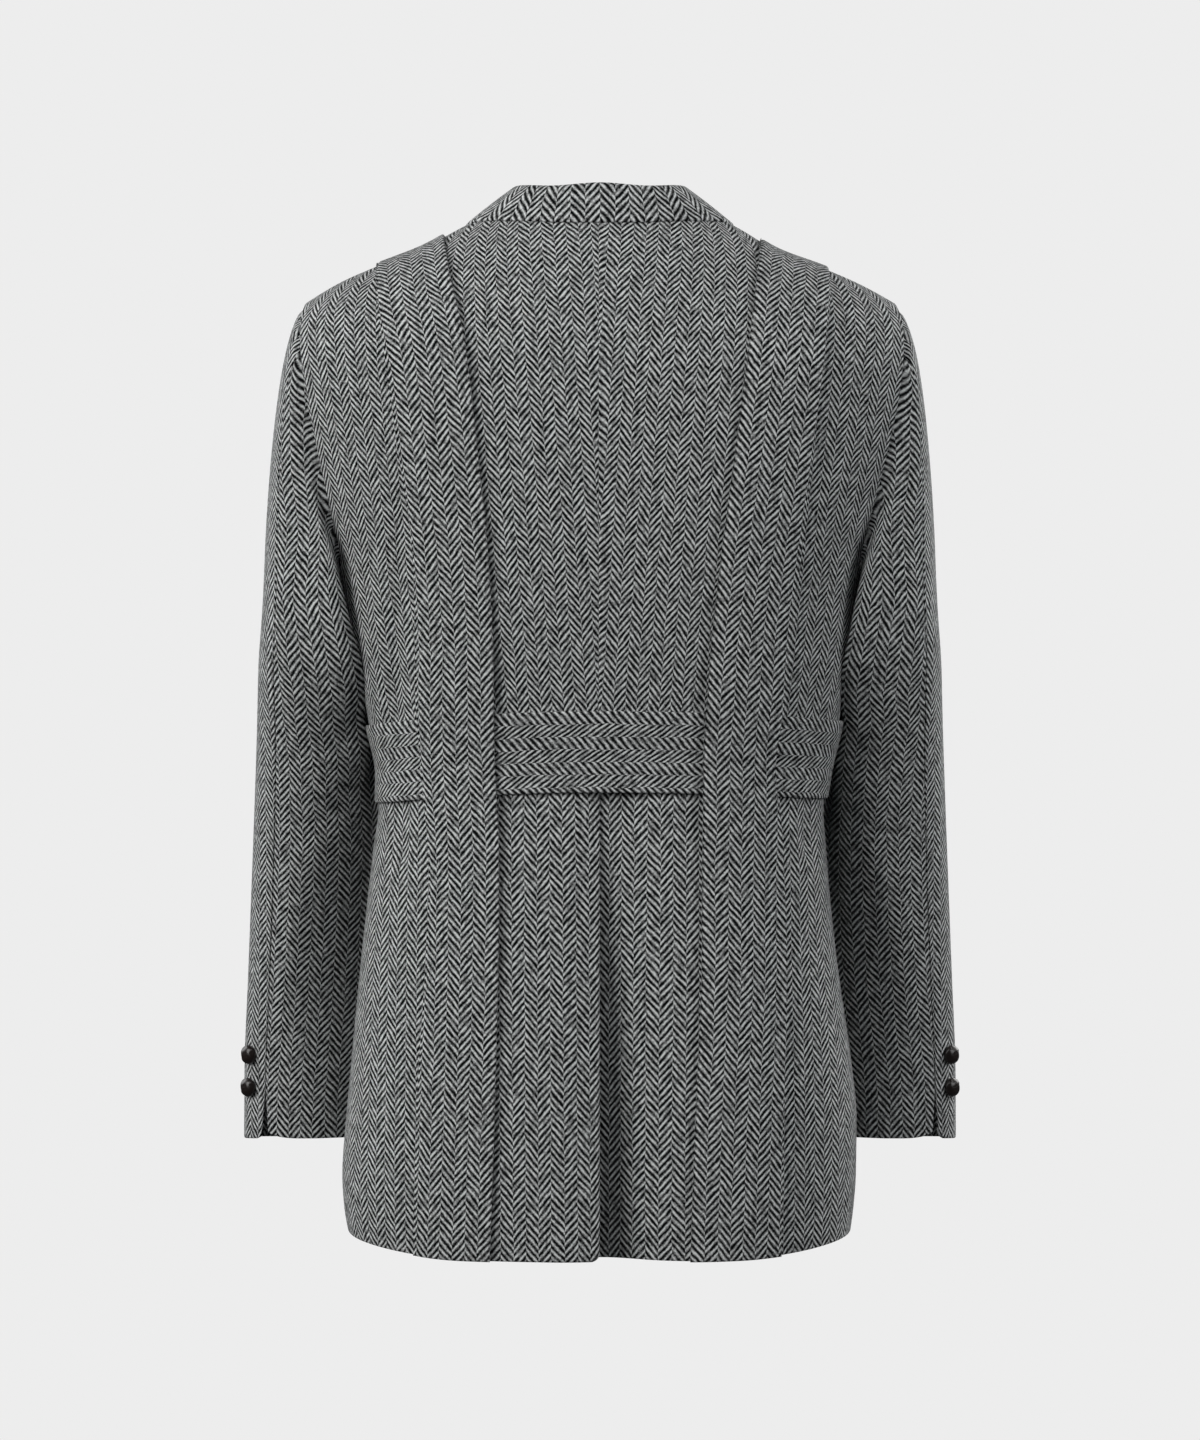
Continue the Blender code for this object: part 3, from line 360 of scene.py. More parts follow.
# Creases of a sleeve: angle, height, angle, height, half width, rise
SLEEVE_CREASES_LEFT = (
    (98.0, -0.322, 140.0, -0.326, 0.0460, 0.0080),
    (150.0, -0.338, 112.0, -0.366, 0.0110, -0.0028),
    (160.0, -0.380, 95.0, -0.430, 0.0110, -0.0022),
    (230.0, -0.400, 300.0, -0.380, 0.0090, -0.0024),
    (225.0, -0.440, 290.0, -0.455, 0.0100, -0.0024),
)
SLEEVE_CREASES_RIGHT = (
    (98.0, -0.322, 140.0, -0.328, 0.0460, 0.0074),
    (150.0, -0.346, 112.0, -0.376, 0.0110, -0.0024),
    (160.0, -0.400, 95.0, -0.440, 0.0110, -0.0020),
    (230.0, -0.410, 300.0, -0.390, 0.0090, -0.0024),
    (225.0, -0.450, 290.0, -0.465, 0.0100, -0.0024),
)

# Grain of the back: above the belt the columns lean in towards the centre seam, and draw together downwards.
# Both start at a height that the belt covers.
UPWARD = (0.0, 0.0, 1.0)
GRAIN_START = -0.370
GRAIN_EVEN = 0.0
GRAIN_FINE = 1.035
GRAIN_LEAN = 0.066
GRAIN_SPREAD = 0.35

# Collar: size of its weave against the body's, rise of its leaf edge, smoothing of its seam and of its run,
# and the row from the leaf edge along which its width is measured
COLLAR_WEAVE = 0.84
COLLAR_EDGE_LIFT = 0.0012
COLLAR_SEAM_PASSES = 12
COLLAR_RUN_PASSES = 30
COLLAR_LEVEL_ROW = 16

# Foot of the collar's stand, tucked into the neck: how far, and where it fades out towards the ends
STAND_TUCK = 0.0050
STAND_TUCK_END = 0.75
STAND_TUCK_FADE = 0.30

# Lapel: how much further its free edge stands off than its fold
LAPEL_EASE = 0.0010

# Inner back of a sleeve, drawn forward: height, ridge angle, share at its end, edge angle,
# share beside the body
SLEEVE_SLOPE_LEFT = (
    (-0.175, 84.0, 0.00, 140.0, 0.00),
    (-0.220, 84.0, -0.32, 140.0, -0.06),
    (-0.270, 84.0, -0.50, 140.0, -0.10),
    (-0.310, 86.0, -0.52, 140.0, -0.04),
    (-0.335, 92.0, -0.34, 141.0, 0.36),
    (-0.365, 98.0, -0.10, 132.0, 0.74),
    (-0.428, 94.0, 0.28, 120.0, 0.88),
    (-0.471, 83.0, 0.50, 118.0, 0.90),
    (-0.515, 75.0, 0.62, 122.0, 0.88),
    (-0.560, 72.0, 0.64, 130.0, 0.78),
    (-0.604, 80.0, 0.50, 136.0, 0.58),
    (-0.674, 96.0, 0.32, 140.0, 0.36),
)
SLEEVE_SLOPE_RIGHT = (
    (-0.175, 84.0, 0.00, 140.0, 0.00),
    (-0.220, 84.0, -0.30, 140.0, -0.06),
    (-0.270, 86.0, -0.46, 140.0, -0.10),
    (-0.310, 90.0, -0.48, 140.0, -0.04),
    (-0.335, 98.0, -0.32, 142.0, 0.36),
    (-0.365, 108.0, -0.10, 134.0, 0.74),
    (-0.428, 104.0, 0.28, 122.0, 0.88),
    (-0.471, 92.0, 0.48, 119.0, 0.90),
    (-0.515, 82.0, 0.60, 122.0, 0.88),
    (-0.560, 77.0, 0.64, 130.0, 0.78),
    (-0.604, 84.0, 0.50, 136.0, 0.58),
    (-0.674, 98.0, 0.32, 140.0, 0.36),
)

# The same drawing forward: angle where it is full, power of its slow rise, how far before the middle the
# cloth stays still in half depths, share of the sleeve head over which it starts, and the degrees in front of
# the outer side from which the turn is counted
SLEEVE_INNER_TURN = 168.0
SLEEVE_LEAN_BEND = 1.1
SLEEVE_FRONT_SHARE = 0.47
SLEEVE_SEAM_SHARE = 0.55
SLEEVE_WRAP = 60.0

# Sleeve's edges: falls and roll of its seams, tuck of its head into the armhole, corners of the cuff slit
SLEEVE_SEAM_FALL = 0.0006
SLEEVE_HEAD_ROLL = 0.0030
SLEEVE_HEAD_FALL = 0.0018
SLEEVE_TUCK = 0.0034
SLEEVE_TUCK_WIDTH = 0.008
CUFF_CORNER = 0.0065
CUFF_UNDER_CORNER = 0.0240
CUFF_UNDER_RISE = 0.0060

# Sleeve's weave and surface where head and arm meet: length of the blend into the head, smoothing of the
# arm's line, and the smoothing of the surface with its half width, reach in half widths and pull of one pass
SLEEVE_CAP_BLEND = 0.100
SLEEVE_AXIS_PASSES = 340
SLEEVE_JOIN_WIDTH = 0.030
SLEEVE_JOIN_REACH = 1.5
SLEEVE_JOIN_PULL = 0.5
SLEEVE_JOIN_PASSES = 60

# Strap: how far its inner and outer edge, its middle and the stretch over the belt stand off the back,
# and how far past and over what length it comes down to the shoulder seam
STRAP_EDGES_LEFT = (0.0024, 0.0006)
STRAP_EDGES_RIGHT = (0.0005, 0.0024)
STRAP_CROWN = 0.0026
STRAP_TOP_REACH = 0.004
STRAP_TOP_FADE = 0.045
STRAP_OVER_BELT = 0.0048

# Strap: how far above and below the belt it starts to rise, the stand-off under which an edge lies low,
# and the softer roll and fall of such an edge
STRAP_CLIMB = 0.060
STRAP_DESCENT = 0.070
STRAP_LOW_EDGE = 0.0010
STRAP_SOFT_ROLL = 0.0036
STRAP_SOFT_FALL = 0.0023

# Metres of sleeve for each degree round it
SLEEVE_TURN_LENGTH = 0.00092

# Button: points round it and up it, and the depth of the grooves between its leather bands
BUTTON_SPOKES = 48
BUTTON_RINGS = 22
BUTTON_GROOVE = 0.0007

# Button profile, as shares: radius of its back, height of its widest ring, how much of a quarter turn its top
# makes, and place and width of the step where the bands start
BUTTON_BACK = 0.72
BUTTON_WAIST = 0.42
BUTTON_TOP_TURN = 0.98
BUTTON_BAND_START = 0.42
BUTTON_BAND_STEP = 0.2

# Knot, in radii: middle band, then place, half width, end and soft end of a crossed one
KNOT_MIDDLE = 0.26
KNOT_PLACE = 0.42
KNOT_HALF_WIDTH = 0.34
KNOT_END = 0.62
KNOT_SOFT_END = 0.16

# Button turned to the back on its thread, and the turns of the knots in radians
CUFF_BUTTON_LEAN = 0.38
CUFF_BUTTON_TURN = 0.3
FRONT_BUTTON_TURN = 0.5

# Tweed: contrast of its yarns and the wave heights that are all dark and all light, slubs in a column and
# in a line, and the turns a metre of its stray, its fibres and its patches: about 17, 1.3 and 8 mm long.
# Real fibres and leather pores are finer: these are drawn as coarse as they need to be to show.
YARN_CONTRAST = 1.9
YARN_DARK = -1.05
YARN_LIGHT = 1.15
SLUBS_ACROSS = 2.6
SLUBS_ALONG = 1.9
STRAY_PER_METRE = 60.0
FIBRES_PER_METRE = 750.0
PATCHES_PER_METRE = 120.0
LEATHER_GRAIN_PER_METRE = 900.0

# Stage
FLOOR_HEIGHT = -1.1
FLOOR_RADIUS = 60.0
FLOOR_CORNERS = 96
AMBIENT = 0.05
AMBIENT_COLOUR = (0.93, 0.97, 1.0, 1.0)
CAMERA_PLACE = (0.0, 2.4, -0.355)
CAMERA_LENS = 81.075
CAMERA_SENSOR = 36.0
LIGHT_AIM = (0.0, 0.0, -0.35)

# Lights: name, place, size, power, colour
LIGHTS = (
    ("key", (2.3, 1.75, 0.75), 1.9, 50.0, (1.0, 1.0, 0.99)),
    ("fill", (-2.6, 1.4, 0.65), 1.9, 29.0, (0.98, 0.99, 1.0)),
    ("behind", (0.5, 2.4, 2.2), 1.2, 12.0, (1.0, 1.0, 1.0)),
    ("front_key", (-2.3, -1.75, 0.75), 1.9, 50.0, (1.0, 1.0, 0.99)),
    ("front_fill", (2.6, -1.4, 0.65), 1.9, 29.0, (0.98, 0.99, 1.0)),
)


def eased(table, column, at):
    """Column of a table at any place of its first column, by a smooth curve that keeps its extremes."""
    rows = np.array(sorted(table))
    place = rows[:, 0]
    value = rows[:, column]
    step = np.diff(place)
    slope = np.diff(value) / step
    tangent = np.zeros(len(place))
    tangent[0] = slope[0]
    tangent[-1] = slope[-1]
    before = slope[:-1]
    after = slope[1:]
    product = before * after
    total = np.where(before + after == 0.0, 1.0, before + after)
    tangent[1:-1] = np.where(product > 0.0, 2.0 * product / total, 0.0)
    at = np.clip(np.asarray(at, dtype=float), place[0], place[-1])
    row = np.clip(np.searchsorted(place, at, side="right") - 1, 0, len(step) - 1)
    share = (at - place[row]) / step[row]
    blend = share * share * (3.0 - 2.0 * share)
    start_pull = share * (1.0 - share) ** 2 * step[row] * tangent[row]
    end_pull = share * share * (share - 1.0) * step[row] * tangent[row + 1]
    return value[row] * (1.0 - blend) + value[row + 1] * blend + start_pull + end_pull


def smooth_step(value):
    """Rise from 0 to 1 with level ends: three squares less two cubes."""
    value = np.clip(value, 0.0, 1.0)
    return value * value * (3.0 - 2.0 * value)


def half_width(z, x):
    """Half width of the section at a height, on the side where x lies."""
    return np.where(x >= 0.0, eased(BODY_SECTIONS, 1, z), eased(BODY_SECTIONS, 2, z))


def full_depth(z, face):
    """Depth of the section at a height, from the middle plane to the back (1) or the front (-1)."""
    return np.where(face > 0, eased(BODY_SECTIONS, 3, z), eased(BODY_SECTIONS, 4, z))


def ridge_height(x):
    """Height of the shoulder line over a distance from the middle."""
    left = eased(SHOULDER_LINE, 1, np.abs(x))
    right = eased(SHOULDER_LINE, 2, np.abs(x))
    return np.where(np.asarray(x) >= 0.0, left, right)


def shoulder_round(x, z, face):
    """Share of the full depth left under the shoulder line, a quarter of an ellipse."""
    drop = np.where(face > 0, eased(SHOULDER_LINE, 3, np.abs(x)), eased(SHOULDER_LINE, 4, np.abs(x)))
    share = np.clip((ridge_height(x) - z) / drop, 0.0, 1.0)
    return np.sqrt(np.maximum(1.0 - (1.0 - share) ** 2, 0.0))


def body_depth(x, z, face):
    """Distance of the body form from the middle plane at x and z, on the back (1) or front (-1)."""
    inside = np.maximum(1.0 - (np.abs(x) / half_width(z, x)) ** BODY_EXPONENT, 0.0)
    rounding = shoulder_round(x, z, face)
    seam = 0.5 * SEAM_GAP * (1.0 - rounding)
    return full_depth(z, face) * inside ** (1.0 / BODY_EXPONENT) * rounding + seam


def body_place(x, z, face):
    """Point of the body form at x and z, on the back (1) or front (-1)."""
    return np.stack([x, face * body_depth(x, z, face), z], axis=-1)


def body_point(angle, z):
    """Point of the body form at a height and an angle in degrees, positive towards the left side."""
    turn = np.radians(angle)
    reach = np.sign(np.sin(turn)) * np.abs(np.sin(turn)) ** (2.0 / BODY_EXPONENT)
    x = reach * half_width(z, reach)
    face = np.where(np.cos(turn) >= 0.0, 1.0, -1.0)
    rounding = shoulder_round(x, z, face)
    inside = np.abs(np.cos(turn)) ** (2.0 / BODY_EXPONENT)
    seam = 0.5 * SEAM_GAP * (1.0 - rounding)
    return np.stack([x, face * (full_depth(z, face) * inside * rounding + seam), z], axis=-1)


def angle_of(side, x, z, face):
    """Angle in degrees of the body point at x and z, for a piece of one side."""
    reach = x / half_width(z, x)
    bent = np.sign(reach) * np.minimum(np.abs(reach), 1.0) ** (0.5 * BODY_EXPONENT)
    turn = np.degrees(np.arcsin(bent))
    return turn if face > 0 else side * 180.0 - turn


def form_value(point):
    """Zero on the body form, positive outside of it."""
    x, y, z = point[..., 0], point[..., 1], point[..., 2]
    face = np.where(y >= 0.0, 1.0, -1.0)
    rounding = shoulder_round(x, z, face) ** BODY_EXPONENT
    across = (np.abs(x) / half_width(z, x)) ** BODY_EXPONENT
    through = (np.abs(y) / full_depth(z, face)) ** BODY_EXPONENT
    return rounding * (across - 1.0) + through


def body_normal(point):
    """Outward direction of the body form at points on it."""
    parts = []
    for axis in range(3):
        move = np.zeros(3)
        move[axis] = NORMAL_STEP
        parts.append(form_value(point + move) - form_value(point - move))
    direction = np.stack(parts, axis=-1)
    return direction / np.linalg.norm(direction, axis=-1, keepdims=True)


def rise(share):
    """Share of the height reached, with rows drawing together towards the shoulder line."""
    return 1.0 - (1.0 - np.clip(share, 0.0, 1.0)) ** ROW_BUNCHING


def height_at_depth(x, depth):
    """Height at which the back of the body form lies at a set distance from the middle plane."""
    z = ridge_height(x)
    inside = np.maximum(1.0 - (np.abs(x) / half_width(z, x)) ** BODY_EXPONENT, 0.0) ** (1.0 / BODY_EXPONENT)
    share = np.clip(depth / (full_depth(z, 1) * inside), 0.0, 1.0)
    return z - eased(SHOULDER_LINE, 3, np.abs(x)) * (1.0 - np.sqrt(1.0 - share ** 2))


def top_height(x, face):
    """Height of the top edge of a body piece: the shoulder line, or the curve of the back neck."""
    if face < 0:
        return ridge_height(x)
    near = np.clip(np.abs(x) / NECK_HALF_WIDTH, 0.0, 1.0)
    neck = NECK_BACK_DEPTH * (1.0 - near ** NECK_CURVE_EXPONENT) ** (1.0 / NECK_CURVE_EXPONENT)
    return height_at_depth(x, neck)


def top_height_at(angle, face):
    """Top edge found from the angle of a column."""
    z = np.full(np.shape(angle), SHOULDER_START)
    for _ in range(SOLVE_STEPS):
        z = top_height(body_point(angle, z)[..., 0], face)
    return z


def vent_edge(side, z):
    """Place of the inner edge of a back half: the centre seam, and the under lap of the right half."""
    seam = side * 0.5 * SEAM_GAP
    if side > 0:
        return np.full(np.shape(z), seam)
    opening = smooth_step((VENT_SEAM_END - z) / (VENT_SEAM_END - VENT_TOP))
    return seam + (VENT_UNDERLAP - seam) * opening


def front_edge(side, z):
    """Place of the front edge: straight over the lap, then along the roll line to the neck point."""
    share = np.clip((z - BREAK_HEIGHT) / (ridge_height(NECK_HALF_WIDTH) - BREAK_HEIGHT), 0.0, 1.0)
    return side * (-FRONT_LAP + (NECK_HALF_WIDTH + FRONT_LAP) * share)


def hem_level(x):
    """Height of the hem: level in the middle, rising by a power of the distance past a set place."""
    share = np.clip((np.abs(x) - HEM_RISE_START) / HEM_RISE_SPAN, 0.0, 1.0)
    return HEM_HEIGHT + HEM_SIDE_RISE * share ** HEM_RISE_POWER


def hem_height(side, angle, face):
    """Hem, rising a little at the sides, turned up at the corners of the vent's top lap and the fronts."""
    x = side * body_point(angle, np.full(np.shape(angle), HEM_HEIGHT))[..., 0]
    level = hem_level(x)
    if face > 0:
        radius = VENT_CORNER
        away = x if side > 0 else np.full(np.shape(angle), radius)
    else:
        radius = FRONT_CORNER
        away = x + FRONT_LAP
    near = np.clip(1.0 - away / radius, 0.0, 1.0)
    return level + radius * (1.0 - np.sqrt(1.0 - near ** 2))


def panel(side, face, u, v):
    """Body panel. u runs from the centre edge to the side seam.

    v runs from the hem at 0 to the underarm at 1 and the top at 2. The upper part is filled in
    between its four edges, in angle and height.
    """
    inner_edge = vent_edge if face > 0 else front_edge
    column = 1 if face > 0 else 2
    gap = face * SIDE_SEAM_HALF_GAP
    seam = side * (SIDE_SEAM_ANGLE - gap)
    low = np.minimum(v, 1.0)
    start_angle = angle_of(side, inner_edge(side, np.full(np.shape(u), HEM_HEIGHT)), HEM_HEIGHT, face)
    hem = hem_height(side, start_angle + (seam - start_angle) * u, face)
    low_z = hem + (UNDERARM_HEIGHT - hem) * low
    inner = angle_of(side, inner_edge(side, low_z), low_z, face)
    low_angle = inner + (seam - inner) * u
    share = np.clip(v - 1.0, 0.0, 1.0)
    up = rise(share)
    top_inner = top_height(np.array(side * 0.5 * SEAM_GAP), 1) if face > 0 else ridge_height(NECK_HALF_WIDTH)
    edge_z = UNDERARM_HEIGHT + (top_inner - UNDERARM_HEIGHT) * up
    edge_angle = angle_of(side, inner_edge(side, edge_z), edge_z, face)
    arm_z = eased(ARMHOLE, 1, share)
    arm_angle = side * (eased(ARMHOLE, 1 + column, share) - gap)
    bottom_inner = angle_of(side, inner_edge(side, np.array(UNDERARM_HEIGHT)), UNDERARM_HEIGHT, face)
    bottom_angle = bottom_inner + (seam - bottom_inner) * u
    corner_angle = angle_of(side, inner_edge(side, np.array(top_inner)), top_inner, face)
    arm_top = side * (ARMHOLE[-1][1 + column] - gap)
    top_angle = corner_angle + (arm_top - corner_angle) * u
    top_z = top_height_at(top_angle, face)
    angle = (1.0 - u) * edge_angle + u * arm_angle + (1.0 - up) * bottom_angle + up * top_angle
    angle = angle - (1.0 - up) * ((1.0 - u) * bottom_inner + u * seam)
    angle = angle - up * ((1.0 - u) * corner_angle + u * arm_top)
    z = (1.0 - u) * edge_z + u * arm_z + (1.0 - up) * UNDERARM_HEIGHT + up * top_z
    z = z - (1.0 - up) * UNDERARM_HEIGHT - up * ((1.0 - u) * top_inner + u * ARMHOLE[-1][1])
    upper = v > 1.0
    return body_point(np.where(upper, angle, low_angle), np.where(upper, z, low_z))


def lap_move(side, face, point):
    """How far a panel stands out (positive) or dips in (negative) beside the vent or the front lap."""
    x = point[..., 0] * side
    z = point[..., 2]
    if face > 0 and side > 0:
        return eased(VENT_LIFT, 1, z) * smooth_step(1.0 - x / VENT_DIP_WIDTH)
    if face > 0:
        return -eased(VENT_DIP, 1, z) * smooth_step(VENT_DIP_REACH - x / VENT_DIP_WIDTH)
    if side < 0:
        return -eased(FRONT_DIP, 1, z) * smooth_step((FRONT_DIP_END - x) / FRONT_DIP_WIDTH)
    return np.zeros(np.shape(x))


def belt_top_edge(x):
    """Height of the belt's top edge, lowest at the sides."""
    side_top = np.where(x >= 0.0, BELT_TOP_LEFT, BELT_TOP_RIGHT)
    return BELT_TOP_BACK + (side_top - BELT_TOP_BACK) * (np.abs(x) / BELT_SIDE_PLACE) ** 2


def armhole_point(side, turn):
    """Armhole edge at an angle round the sleeve: 0 shoulder, 90 back, 180 underarm, 270 front."""
    turn = np.mod(turn, 360.0)
    back = turn <= 180.0
    share = np.where(back, 1.0 - turn / 180.0, turn / 180.0 - 1.0)
    angle = np.where(back, eased(ARMHOLE, 2, share), eased(ARMHOLE, 3, share))
    point = body_point(side * angle, eased(ARMHOLE, 1, share))
    return point + np.array([side * ARMHOLE_GAP, 0.0, 0.0])


def body_side(side, y, z):
    """Nearest place a sleeve can come to the side of the body, over the belt at its height."""
    face = np.where(y >= 0.0, 1.0, -1.0)
    left = np.maximum(1.0 - (np.abs(y) / full_depth(z, face)) ** BODY_EXPONENT, 0.0)
    band = smooth_step((BELT_TOP_RIGHT + BELT_CLEAR_RAMP - z) / BELT_CLEAR_RAMP)
    band = band * smooth_step((z - BELT_TOP_LEFT + BELT_DEPTH + BELT_CLEAR_RAMP) / BELT_CLEAR_RAMP)
    band = band * smooth_step((y + BELT_FRONT_END) / BELT_FRONT_RAMP)
    return half_width(z, side) * left ** (1.0 / BODY_EXPONENT) + SLEEVE_REST + BELT_STAND * band


def sleeve_ring(side, turn, z):
    """Sleeve section at a height."""
    inner = eased(SLEEVE_SECTIONS, 2 if side > 0 else 3, z)
    outer = eased(SLEEVE_SECTIONS, 1, z)
    angle = np.radians(turn)
    across = np.sign(np.cos(angle)) * np.abs(np.cos(angle)) ** (2.0 / SLEEVE_EXPONENT)
    through = np.sign(np.sin(angle)) * np.abs(np.sin(angle)) ** (2.0 / SLEEVE_EXPONENT)
    x = 0.5 * (outer + inner) + 0.5 * (outer - inner) * across
    y = eased(SLEEVE_SECTIONS, 4, z) + eased(SLEEVE_SECTIONS, 5, z) * through
    beside = body_side(side, y, z)
    x = 0.5 * (x + beside + np.sqrt((x - beside) ** 2 + SLEEVE_REST_ROUND ** 2))
    return np.stack([side * x, y, z + 0.0 * x], axis=-1)


def sleeve_point(side, turn, t):
    """Point of the sleeve: t from the armhole 0 over the sleeve head to the top ring 1 and the cuff 2."""
    low = np.clip(t - 1.0, 0.0, 1.0)
    end = CUFF_HEIGHT + CUFF_TILT * np.sin(np.radians(turn))
    tube = sleeve_ring(side, turn, SLEEVE_TOP_RING + (end - SLEEVE_TOP_RING) * low)
    start = armhole_point(side, turn)
    finish = sleeve_ring(side, turn, np.full(np.shape(turn), SLEEVE_TOP_RING))
    top = smooth_step((start[..., 2:3] - UNDERARM_HEIGHT) / UNDERARM_SCOOP)
    drop = (start - finish)[..., 2:3] * np.array([0.0, 0.0, 1.0])
    reach = SLEEVE_HEAD_REACH * top + SLEEVE_UNDER_REACH * (1.0 - top)
    fall = SLEEVE_HEAD_DROP * top + SLEEVE_UNDER_DROP * (1.0 - top)
    leave = start + reach * np.array([side, 0.0, 0.0]) - drop * fall
    leave = leave + SLEEVE_HEAD_BACK * np.sin(np.radians(turn))[..., None] * np.array([0.0, 1.0, 0.0])
    arrive = finish + SLEEVE_TANGENT * drop
    s = np.clip(t, 0.0, 1.0)[..., None]
    cap = (1.0 - s) ** 3 * start + 3.0 * s * (1.0 - s) ** 2 * leave
    cap = cap + 3.0 * s * s * (1.0 - s) * arrive + s ** 3 * finish
    return np.where((t > 1.0)[..., None], tube, cap)


def sleeve_normal(side, turn, t):
    """Outward direction of the sleeve surface."""
    ahead = sleeve_point(side, turn + SLEEVE_TURN_STEP, t)
    round_step = ahead - sleeve_point(side, turn - SLEEVE_TURN_STEP, t)
    later = np.minimum(t + SLEEVE_STEP, 2.0)
    sooner = np.maximum(t - SLEEVE_STEP, 0.0)
    down_step = sleeve_point(side, turn, later) - sleeve_point(side, turn, sooner)
    direction = side * np.cross(down_step, round_step)
    return direction / np.linalg.norm(direction, axis=-1, keepdims=True)


def creases(table, across, along):
    """Sum of soft troughs and ridges: each is a bell across a straight line, stronger towards its end."""
    total = np.zeros(np.broadcast(across, along).shape)
    for start_x, start_z, end_x, end_z, width, height in table:
        run_x, run_z = end_x - start_x, end_z - start_z
        length = math.hypot(run_x, run_z)
        share = ((across - start_x) * run_x + (along - start_z) * run_z) / length ** 2
        away = np.abs((across - start_x) * run_z - (along - start_z) * run_x) / length
        past = np.maximum(np.abs(share - 0.5) - 0.5, 0.0) * length
        strength = height * (CREASE_START + (1.0 - CREASE_START) * np.clip(share, 0.0, 1.0))
        total = total + strength * np.exp(-(away / width) ** 2 - (past / (CREASE_FADE * width)) ** 2)
    return total


def places(count, length, start=True, end=True):
    """Shares from 0 to 1, evenly spaced, with close ones near the edges of a strip of this length."""
    near = np.array(EDGE_PLACES) / length
    shares = [np.linspace(0.0, 1.0, count)]
    if start:
        shares.append(near)
    if end:
        shares.append(1.0 - near)
    return np.unique(np.concatenate(shares).round(6))


def surface_normals(grid, sign):
    """Directions square to a grid of points, from the steps between neighbours."""
    direction = sign * np.cross(np.gradient(grid, axis=0), np.gradient(grid, axis=1))
    return direction / np.maximum(np.linalg.norm(direction, axis=-1, keepdims=True), 1.0e-12)


def run_lengths(grid, axis):
    """Distance along the cloth from the first row of an axis."""
    step = np.linalg.norm(np.diff(grid, axis=axis), axis=-1)
    lead = np.zeros_like(np.take(step, [0], axis=axis))
    return np.concatenate([lead, np.cumsum(step, axis=axis)], axis=axis)


def edge_fall(distance, radius):
    """Quarter-round drop towards an edge: 1 on the edge, 0 a radius in from it."""
    near = np.clip(1.0 - distance / max(radius, 1.0e-6), 0.0, 1.0)
    return 1.0 - np.sqrt(1.0 - near ** 2)


def cloth_wall(name, node, grid, sign, weave, rolls, falls):
    """Closed cloth wall: an outer grid, the same grid moved in by the thickness, and a rim that joins them.

    rolls and falls hold the radius and depth of the rolled edge at the first and last row of both axes.
    weave is the place of each point on the flat cloth, across and along, in metres. Returns the piece
    and the grid before its edges were rolled.
    """
    normal = surface_normals(grid, sign)
    across, along = run_lengths(grid, 0), run_lengths(grid, 1)
    reach = (across, across[-1:] - across, along, along[:, -1:] - along)
    drop = np.zeros(grid.shape[:2])
    for distance, radius, fall in zip(reach, rolls, falls):
        drop = np.maximum(drop, fall * edge_fall(distance, radius))
    inner_drop = np.minimum(drop, CLOTH - drop - LEAST_CLOTH)
    inner = grid - normal * (CLOTH - inner_drop)[..., None]
    outer = grid - normal * drop[..., None]
    rows, columns = outer.shape[:2]
    count = rows * columns
    points = np.concatenate([outer.reshape(-1, 3), inner.reshape(-1, 3)])
    index = np.arange(count).reshape(rows, columns)
    a, b, c, d = index[:-1, :-1], index[:-1, 1:], index[1:, 1:], index[1:, :-1]
    quads = np.stack([a, b, c, d], axis=-1).reshape(-1, 4)
    border = np.concatenate([index[0, :-1], index[:-1, -1], index[-1, :0:-1], index[:0:-1, 0]])
    ahead = np.roll(border, -1)
    rim = np.stack([border, border + count, ahead + count, ahead], axis=-1)
    faces = np.concatenate([quads, quads[:, ::-1] + count, rim])
    first = points[quads[:, 0]]
    turned = np.cross(points[quads[:, 1]] - first, points[quads[:, 3]] - first)
    if np.sum(turned * normal.reshape(-1, 3)[quads[:, 0]]) < 0.0:
        faces = faces[:, ::-1]
    piece = add_mesh(name, points, faces.tolist())
    mesh = piece.data
    corner = np.empty(len(mesh.loops), dtype=np.int32)
    mesh.loops.foreach_get("vertex_index", corner)
    weave = np.concatenate([weave.reshape(-1, 2), weave.reshape(-1, 2)])
    cloth_map = mesh.uv_layers.new(name="weave")
    cloth_map.data.foreach_set("uv", weave[corner].astype(np.float32).ravel())
    mesh.update()
    mesh.shade_smooth()
    mesh.materials.append(shared_material("herringbone_tweed", tweed))
    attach(piece, "root")
    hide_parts(node)
    return piece, grid


def add_mesh(name, points, faces):
    """Object at the origin with its place in its mesh, in the scene."""
    mesh = bpy.data.meshes.new(name)
    mesh.from_pydata(points.tolist(), [], faces)
    piece = bpy.data.objects.new(name, mesh)
    bpy.context.scene.collection.objects.link(piece)
    return piece


def lie_flat(surface, normal, upward, level):
    """Place of each grid point on the flat cloth, across and up, in metres.

    Each step over the surface is split into a part along the grain, which follows the upward direction
    laid on the surface, and a part square to it. They are summed along one level row of the grid, then
    from it along every column.
    """
    across = np.cross(np.broadcast_to(upward, surface.shape), normal)
    across = across / np.maximum(np.linalg.norm(across, axis=-1, keepdims=True), 1.0e-9)
    grain = np.cross(normal, across)
    ways = np.stack([across, grain], axis=-1)
    row = np.diff(surface[:, level], axis=0)
    row = np.einsum("rk,rkw->rw", row, 0.5 * (ways[1:, level] + ways[:-1, level]))
    row = np.concatenate([np.zeros((1, 2)), np.cumsum(row, axis=0)])
    column = np.diff(surface, axis=1)
    column = np.einsum("rck,rckw->rcw", column, 0.5 * (ways[:, 1:] + ways[:, :-1]))
    column = np.concatenate([np.zeros((len(surface), 1, 2)), np.cumsum(column, axis=1)], axis=1)
    return row[:, None] + column - column[:, level:level + 1]


